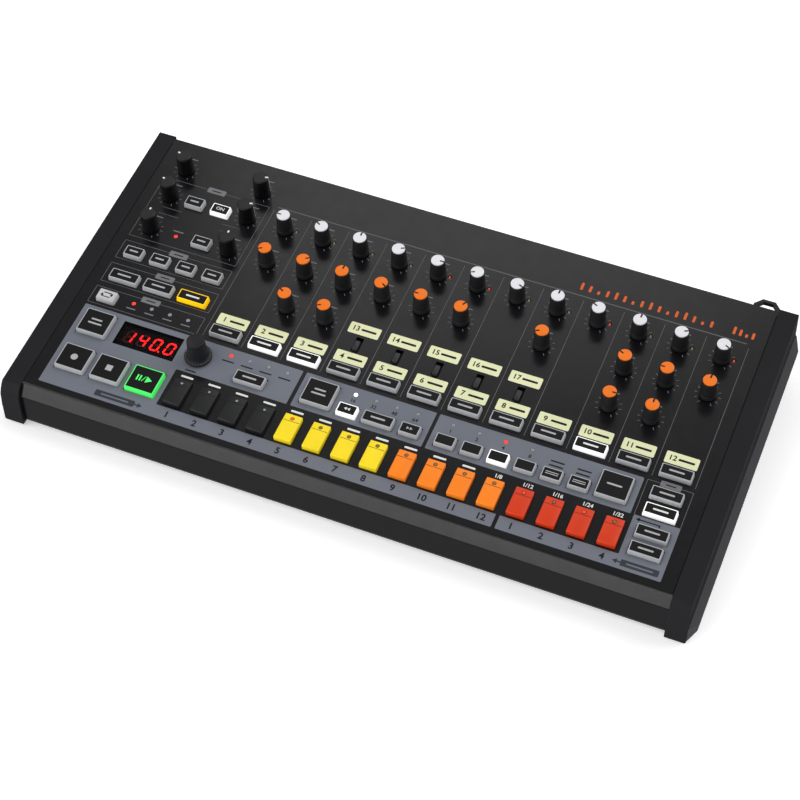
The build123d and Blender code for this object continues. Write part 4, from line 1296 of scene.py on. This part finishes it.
@dataclass
class Display:
    """Four slanted seven-segment figures behind a smoked window."""

    shown: str = "1400"
    point_after: int = 2
    first: float = -179.1
    pitch: float = 10.2
    width: float = 5.2
    height: float = 9.4
    bar: float = 1.4
    gap: float = 0.18
    point: float = 0.7  # radius of the decimal points
    lean: float = tan(radians(9))
    span: Point = (-1.9, -1.7)

    def segment(self, length: float) -> Outline:
        """Lays out a level segment about the origin.

        Args:
            length: Its length, with the gaps at its ends.

        Returns:
            The outline.
        """
        half, tip = length / 2 - self.gap, self.bar / 2
        front = [(-half, 0.0), (tip - half, -tip), (half - tip, -tip)]
        return front + [(-u, -v) for u, v in front]

    def segments(self) -> dict[str, Outline]:
        """Lays out the seven segments about the middle of a figure.

        Returns:
            Their outlines, by letter.
        """
        side, top = self.width / 2, self.height / 2
        level = self.segment(self.width)
        upright = moved(self.segment(top), 0, top / 2, pi / 2)
        places = {key: (level, 0, v) for key, v in (("a", top), ("g", 0), ("d", -top))}
        for key, u, v in (("b", side, 0), ("c", side, -top), ("f", -side, 0), ("e", -side, -top)):
            places[key] = (upright, u, v)
        return {key: moved(*place) for key, place in places.items()}

    def build(self) -> None:
        """Builds the figures."""
        form = Form()
        lit = {"0": "abcdef", "1": "bc", "4": "bcfg"}
        for index, figure in enumerate(self.shown):
            middle = self.first + self.pitch * index
            for key, outline in self.segments().items():
                leaning = [(middle + u + v * self.lean, DATA_ROW + v) for u, v in outline]
                form.prism(leaning, self.span, DIGIT_RED if key in lit[figure] else DIGIT_DARK)
            point = moved(disc(self.point, 16), middle + self.width * 0.72, DATA_ROW - self.height / 2)
            form.prism(point, self.span, DIGIT_RED if index == self.point_after else DIGIT_DARK)
        form.build("display_figures", "case", "display_plastic")


# ---- printing on the panel, and a painted shadow along the seams

AREA = (0.0, 0.04)  # spans of the inks, which lie one over another
TAG = (0.0, 0.06)
OVER = (0.0, 0.08)
FINE = 0.4  # width of a fine line
KEY_ROW = 13.4  # numbers in front of the step keys
FRACTION_ROW = 46.2  # labels behind them
ARROW_ROW = 47.4
CAPTION_ROW = 68.2  # labels in front of the lamps


def box(left: float, front: float, right: float, back: float) -> Outline:
    """Returns the corners of a rectangle."""
    return [(left, front), (right, front), (right, back), (left, back)]


@dataclass
class Printing:
    """Everything that is screen-printed on the top panel, with a painted shadow along the seams, one
    piece for each group.
    """

    display: Point = (45.6, 20.1)  # size of the display's opening
    wheel: float = 3.6  # radius of the opening at the data wheel
    lamp: float = 1.1  # radius of a lamp in its hole
    plate: Point = (22.4, 9.3)
    plate_bar: Point = (11.0, 1.7)
    plate_shifts: Point = (-6.2, 3.2)  # of a plate's number and bar from its middle
    ticks: int = 11
    tick_reach: Point = (7.3, 9.2)  # radii of a tick's ends
    sweep: float = radians(300)  # from the first tick to the last
    dial_bar: Point = (8.4, 0.9)
    dial_bar_shift: float = 11.6
    rule: Point = (-130.4, 216.8)  # ends of the line behind the knobs
    voice_line: Point = (-131.9, 29.25)  # column of the first line between voices, and pitch
    voice_line_rows: Point = (82.3, 203.0)
    # column of the painted shadow along each seam between the panel and a cheek
    seam: float = HALF_CASE - 0.35
    seam_rows: Point = (4.0, 236.0)
    tag: Point = (14.0, 4.8)  # on the back edge of a box
    tag_bar: Point = (7.0, 0.9)
    pointer: Point = (3.2, 1.1)  # reach of an arrow's head and width of its shaft
    title_row: float = 211.0
    beat: float = 1.9  # width of the title's bars
    form: Form = field(default_factory=Form)  # the group that is being printed

    def openings(self) -> list[Outline]:
        """Lays out the panel's openings under the printed areas.

        Returns:
            Their outlines.
        """
        holes = []
        for buttons in BUTTON_SETS:
            width, length = (side + 2 * FIT for side in buttons.size)
            holes += [moved(rounded_rectangle(width, length, 0.2), *spot) for spot in buttons.spots]
        lamps = SYNC_LAMPS + DATA_LAMPS + LENGTH_LAMPS + PAGE_LAMPS
        holes += [moved(disc(self.lamp + FIT), *spot) for spot in lamps]
        holes.append(moved(rounded_rectangle(*self.display, 0.2), DISPLAY_COLUMN, DATA_ROW))
        return holes + [moved(disc(self.wheel), DATA_COLUMN, DATA_ROW)]

    @staticmethod
    def holds(shape: Outline, point: Point) -> bool:
        """Tells whether an outline goes round a point.

        Args:
            shape: The outline.
            point: The point.

        Returns:
            Whether it does.
        """
        u, v = point
        inside = False
        for (u1, v1), (u2, v2) in zip(shape, shape[1:] + shape[:1]):
            if (v1 > v) != (v2 > v) and u < u1 + (v - v1) / (v2 - v1) * (u2 - u1):
                inside = not inside
        return inside

    def areas(self) -> None:
        """Prints the blue-gray areas round the buttons and step keys."""
        front, strip, middle, back = 8.5, 18.85, 49.9, 78.9
        left, keys_left, keys_right, right = -220.0, -136.1, 188.5, 219.4
        end, start = 106.4, 109.0  # of the strips in front of the keys
        left_area = [(left, front), (end, front), (end, strip), (keys_left, strip)]
        left_area += [(keys_left, middle), (-54.6, middle), (-54.6, back), (left, back)]
        right_area = [(start, front), (right, front), (right, middle), (keys_right, middle)]
        right_area += [(keys_right, strip), (start, strip)]
        holes = self.openings()
        scroll, pages = box(-51.8, middle, 42.3, back), box(44.8, middle, 186.1, back)
        for shape in (left_area, right_area, scroll, pages):
            inside = [hole for hole in holes if self.holds(shape, hole[0])]
            self.form.filled([softened(shape), *inside], AREA, INK_BLUE_GRAY)

    def plates(self) -> None:
        """Prints the pale label plates with the numbers of the voices."""
        spots = voices(PLATE_ROW) + voices(HIGH_PLATE_ROW, SLIDE_VOICES)
        for number, (u, v) in enumerate(spots, 1):
            number_at, bar_at = ((u + shift, v) for shift in self.plate_shifts)
            self.form.prism(moved(rounded_rectangle(*self.plate, 1.0), u, v), AREA, INK_PLATE)
            self.form.text(str(number), number_at, 4.0, OVER, INK_DARK, 0.12)
            self.form.prism(moved(bar(*self.plate_bar), *bar_at), OVER, INK_DARK)

    def dials(self) -> None:
        """Prints the ring of ticks and a label bar at every knob."""
        for u, v in LEVEL_SPOTS + TONE_SPOTS + MAIN_SPOTS:
            for tick in range(self.ticks):
                angle = self.sweep * (tick / (self.ticks - 1) - 0.5)
                start, end = [(u + r * sin(angle), v + r * cos(angle)) for r in self.tick_reach]
                self.form.prism(stroke(start, end, FINE), AREA, INK_MARK)
            self.form.prism(moved(bar(*self.dial_bar), u, v + self.dial_bar_shift), AREA, INK_MARK)

    def lines(self) -> None:
        """Prints the rule behind the knobs, the separators and the boxes with their tags, and paints a
        shadow along the seams with the cheeks.
        """
        start, end = ((u, RULE_ROW) for u in self.rule)
        self.form.prism(stroke(start, end, 2 * FINE), AREA, INK_LINE)
        front, back = self.voice_line_rows
        for u, _ in run(*self.voice_line, VOICES + 1, front):
            self.form.prism(stroke((u, front), (u, back), FINE), AREA, INK_LINE)
        left, right, middle = -219.9, -136.4, -178.1
        rows = ((145.5, 203.9), (123.6, 140.4), (101.2, 118.4), (81.3, 96.1))
        boxes = [(box(left, front, right, back), middle) for front, back in rows]
        for corners, tag in boxes + [(box(188.5, 50.1, 219.2, 78.7), RIGHT_COLUMN)]:
            for start, end in zip(corners, corners[1:] + corners[:1]):
                self.form.prism(stroke(start, end, FINE), AREA, INK_LINE)
            at = (tag, corners[2][1])
            half_u, half_v = (side / 2 for side in self.tag)
            self.form.prism(moved(softened(box(-half_u, -half_v, half_u, half_v)), *at), TAG, INK_PILL)
            self.form.prism(moved(bar(*self.tag_bar), *at), OVER, INK_DARK)
        fx_lines = [(-209.2, -194.0, 177.6), (-161.6, -147.8, 177.6)]
        for start, end, v in fx_lines + [(-209.2, -193.4, 171.6), (-160.7, -148.8, 171.6)]:
            self.form.prism(stroke((start, v), (end, v), FINE), AREA, INK_LINE)
        # painted shadow: a dark line along each seam with a cheek
        front, back = self.seam_rows
        for u in (-self.seam, self.seam):
            self.form.prism(stroke((u, front), (u, back), 1.5 * FINE), AREA, SEAM_SHADOW)

    def captions(self) -> None:
        """Prints figures and bars beside the keys, lamps and buttons."""
        fractions = dict(zip(range(VOICES - 1, 16), ("1/8", "1/12", "1/16", "1/24", "1/32")))
        for index, (u, _) in enumerate(STEP_SPOTS):
            self.form.text(str(index % VOICES + 1), (u, KEY_ROW), 4.8, OVER, INK_DARK, 0.17)
            if index in fractions:
                self.form.text(fractions[index], (u, FRACTION_ROW), 2.9, OVER, INK_PALE, 0.08)
            else:
                self.form.prism(moved(bar(9.0, 1.5), u, FRACTION_ROW), OVER, INK_PALE)
        figures = zip(LENGTH_LAMPS + PAGE_LAMPS, (16, 32, 48, 64, 1, 2, 4, 8))
        for (u, _), figure in figures:
            self.form.text(str(figure), (u, CAPTION_ROW), 2.8, OVER, INK_DARK, 0.06)
        last_pages = [(PAGE_COLUMN + n * PAGE_PITCH, v) for n in (4, 5) for v in (66.8, 70.2)]
        for size, spots, ink in (
            ((9.0, 1.0), [(u, CAPTION_ROW) for u, _ in DATA_LAMPS], INK_DARK),
            ((7.0, 0.9), [(u, 85.6) for u, _ in SYNC_LAMPS], INK_MARK),
            ((9.6, 1.1), last_pages, INK_DARK),
            ((8.0, 1.0), [(DATA_COLUMN, 51.9)], INK_DARK),
            ((8.0, 0.9), [(FX_LAMP, 160.0)], INK_MARK),
        ):
            for spot in spots:
                self.form.prism(moved(bar(*size), *spot), OVER, ink)

    def labels(self) -> None:
        """Prints the captions, the two tags with an arrow and the bent arrow at the right."""
        self.captions()
        for left, right, toward in ((-179.2, -149.8, 1), (191.5, 216.7, -1)):
            middle, width = (left + right) / 2, right - left
            self.form.prism(moved(rounded_rectangle(width, 4.9, 0.8), middle, KEY_ROW), TAG, INK_TAG)
            self.form.prism(moved(bar(width * 0.7, 1.0), middle, KEY_ROW), OVER, INK_BLUE_GRAY)
            edge = right if toward > 0 else left
            reach, thick = self.pointer
            shaft = stroke((edge, KEY_ROW), (edge + toward * 3.0, KEY_ROW), thick)
            self.form.prism(shaft, TAG, INK_TAG)
            self.form.prism(moved(triangle(reach, toward), edge + toward * 4.0, KEY_ROW), TAG, INK_TAG)
        start, bend = 192.5, 206.5
        self.form.prism(stroke((start, ARROW_ROW), (bend, ARROW_ROW), 0.9), OVER, INK_DARK)
        self.form.prism(stroke((bend, ARROW_ROW + 0.4), (bend, ARROW_ROW - 1.5), 0.9), OVER, INK_DARK)
        self.form.prism(moved(triangle(2.6, -1), start - 0.6, ARROW_ROW), OVER, INK_DARK)

    def title(self) -> None:
        """Prints two groups of orange bars, tallest on each beat, where a title might stand."""
        for start, pitch, count in ((97.0, 6.2, 16), (206.0, 4.4, 4)):
            for index, (u, v) in enumerate(run(start, pitch, count, self.title_row)):
                tall = 3.0 + 3.6 * abs(cos(index * pi / 4))
                outline = rounded_rectangle(self.beat, tall, 0.8)
                self.form.prism(moved(outline, u, v + tall / 2), AREA, INK_ORANGE)

    def build(self) -> None:
        """Prints everything, and paints the shadow along the seams."""
        for step in (self.areas, self.plates, self.dials, self.lines, self.labels, self.title):
            self.form = Form()
            step()
            self.form.build("print_" + step.__name__, "case", "panel_paint")


# ---- parts of the frame whose own shape is right


@dataclass
class CarriedParts:
    """The frame's nodes that keep their shape, grouped by the finish that they get."""

    nodes: dict[Finish, tuple[str, ...]] = field(
        default_factory=lambda: {
            PANEL_PAINT: ("top_panel",),
            TRAY_PAINT: ("chassis_tray",),
            CHEEK_PLASTIC: ("left_cheek", "right_cheek"),
            BOARD_GREEN: ("circuit_boards",),
            CONTROL_BODY: ("panel_controls",),
            DISPLAY_FACE: ("display_module",),
            WINDOW: ("display_window",),
            SOCKET_BODY: ("audio_jacks", "mini_jacks", "midi_sockets"),
            SHELL_STEEL: ("usb_socket",),
            HOOK_PLASTIC: ("power_inlet", "cord_hook"),
            INSERT_BLACK: ("power_rocker",),
            RUBBER: ("rubber_feet",),
            SCREW_STEEL: ("case_screws",),
        }
    )

    def build(self) -> None:
        """Gives every carried-over node its finish."""
        for finish, names in self.nodes.items():
            for name in names:
                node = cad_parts[name]
                if not node.material_slots:
                    node.data.materials.append(None)
                for slot in node.material_slots:
                    slot.material = finish.make()
                LOG.info("%s: %s", name, finish.name)


# ---- studio


@dataclass
class StudioLight:
    """A light turned to the middle of the machine, at a place in metres."""

    name: str
    at: Place
    power: float
    size: Point | None = None  # of a soft rectangle; a light without one is far away
    spread: float = radians(50)  # of a far light

    def build(self) -> None:
        """Adds the light."""
        lamp = bpy.data.lights.new(self.name, "AREA" if self.size else "SUN")
        lamp.energy = self.power
        if self.size:
            lamp.shape, lamp.size, lamp.size_y = "RECTANGLE", *self.size
        else:
            lamp.angle = self.spread
        made = stand(self.name, lamp)
        made.location = self.at
        made.rotation_mode = "QUATERNION"
        made.rotation_quaternion = (-Vector(self.at)).to_track_quat("-Z", "Y")


LIGHTS = (
    StudioLight("top_box", (-0.35, 1.02, 1.25), 2.5, (0.85, 0.6)),
    StudioLight("low_card", (-0.5, -2.2, 0.3), 17.0, (2.4, 0.6)),
    StudioLight("front_card", (-0.5, -1.5, 1.2), 3.0, (0.9, 0.4)),
    StudioLight("left_light", (-0.75, -0.4, 0.75), 1.05),
    StudioLight("right_light", (0.62, 0.6, 0.75), 1.55),
)


@dataclass
class Studio:
    """Camera, pale floor, and soft light all round; lengths are metres."""

    eye: Place = (0.3375, -0.8467, 1.0513)
    right: Place = (0.9258, 0.3780, 0.0035)
    up: Place = (-0.2893, 0.7026, 0.6501)
    lens: float = 89.45  # millimetres, like the sensor
    sensor: float = 36.0
    clip: Point = (0.01, 50.0)
    floor_half: float = 6.0
    surround: float = 0.36

    def camera(self) -> None:
        """Adds the camera, off to the right and well above the machine."""
        data = bpy.data.cameras.new("camera")
        data.lens, data.sensor_width = self.lens, self.sensor
        data.clip_start, data.clip_end = self.clip
        right = Vector(self.right).normalized()
        back = right.cross(Vector(self.up)).normalized()
        made = stand("camera", data)
        axes = Matrix((right, back.cross(right), back)).transposed()
        made.matrix_world = Matrix.Translation(self.eye) @ axes.to_4x4()
        bpy.context.scene.camera = made

    def floor(self) -> None:
        """Adds the pale floor."""
        half = self.floor_half
        mesh = bpy.data.meshes.new("floor")
        corners = [(x, y, 0) for x, y in box(-half, -half, half, half)]
        mesh.from_pydata(corners, [], [(0, 1, 2, 3)])
        mesh.materials.append(FLOOR_WHITE.make())
        made = stand("floor", mesh)
        made.visible_glossy = False

    def build(self) -> None:
        """Adds the camera, the floor, an even white surround and the lights."""
        bpy.context.scene.view_settings.view_transform = "Standard"
        self.camera()
        self.floor()
        world = bpy.data.worlds.new("surround")
        world.use_nodes = True
        background = world.node_tree.nodes["Background"]
        background.inputs["Color"].default_value = (1.0, 1.0, 1.0, 1.0)
        background.inputs["Strength"].default_value = self.surround
        bpy.context.scene.world = world
        for light in LIGHTS:
            light.build()


# ---- the machine

BUTTON_SETS = (
    ButtonSet(
        "small_buttons",
        run(LEFT_COLUMN, STEP_PITCH, 4, SAVE_ROW)
        + run(LEFT_COLUMN + STEP_PITCH, STEP_PITCH, 2, ON_ROW)
        + [(LEFT_COLUMN + 2 * STEP_PITCH, FX_ROW), (LEFT_COLUMN, SELECT_ROW)]
        + [(BACK_BUTTON, EDIT_ROW), (NEXT_BUTTON, EDIT_ROW)]
        + run(PAGE_COLUMN, PAGE_PITCH, 6, EDIT_ROW),
        (14.2, 9.2),
        [Sign.ONE_BAR] * 5
        + [Sign.ON, Sign.ONE_BAR, Sign.REPEAT, Sign.BACK, Sign.NEXT]
        + [Sign.BARE] * 4
        + [Sign.LINE] * 2,
        {5: Light.WHITE, 8: Light.WHITE, 12: Light.WHITE},
        pale=(7,),
    ),
    ButtonSet(
        "wide_buttons",
        run(MODE_COLUMN, MODE_PITCH, 3, MODE_ROW)
        + [(DATA_BUTTON, EDIT_ROW), (LENGTH_BUTTON, EDIT_ROW)]
        + [(RIGHT_COLUMN, v) for v in RIGHT_ROWS],
        (22.0, 9.2),
        [Sign.ONE_BAR] * 9,
        {2: Light.YELLOW, 6: Light.WHITE},
    ),
    ButtonSet(
        "select_buttons",
        voices(SELECT_ROW),
        (22.3, 9.0),
        [Sign.ONE_BAR] * VOICES,
        {1: Light.WHITE, 2: Light.WHITE, 9: Light.WHITE},
    ),
    ButtonSet(
        "square_buttons",
        run(MODE_COLUMN, MODE_PITCH, 3, TRANSPORT_ROW)
        + [(u, DATA_ROW) for u in (MODE_COLUMN, SCROLL_BUTTON, TRIGGER_BUTTON)],
        (22.0, 20.2),
        [Sign.RECORD, Sign.STOP, Sign.PLAY, Sign.TWO_BARS, Sign.TWO_BARS, Sign.ONE_BAR],
        {2: Light.GREEN},
    ),
)

KNOBS = (
    CappedKnobs("level_knob_{:02d}", LEVEL_SPOTS, LEVEL_MARKS, WHITE_CAP),
    CappedKnobs("tone_knob_{:02d}", TONE_SPOTS, TONE_MARKS, ORANGE_CAP),
    MainKnobs("main_knob_{}", MAIN_SPOTS, MAIN_MARKS),
    DataWheel("data_wheel", [(DATA_COLUMN, DATA_ROW)], [0.0]),
)

STEP_COLUMNS = [u for u, _ in STEP_SPOTS]
STEP_KEYS = (
    StepKeys("dark", STEP_COLUMNS[:4], DARK_KEY),
    StepKeys("yellow", STEP_COLUMNS[4:8], YELLOW_KEY, (0,)),
    StepKeys("orange", STEP_COLUMNS[8:12], ORANGE_KEY),
    StepKeys("red", STEP_COLUMNS[12:], RED_KEY, (0, 2)),
)


def main() -> None:
    """Builds the looks in order."""
    logging.basicConfig(level=logging.INFO, format="%(name)s %(message)s")
    fixed = (Lamps(), SlideLevers(), Display(), Printing())
    for part in (Studio(), CarriedParts(), *BUTTON_SETS, *KNOBS, *STEP_KEYS, *fixed):
        part.build()


if __name__ == "__main__":
    main()
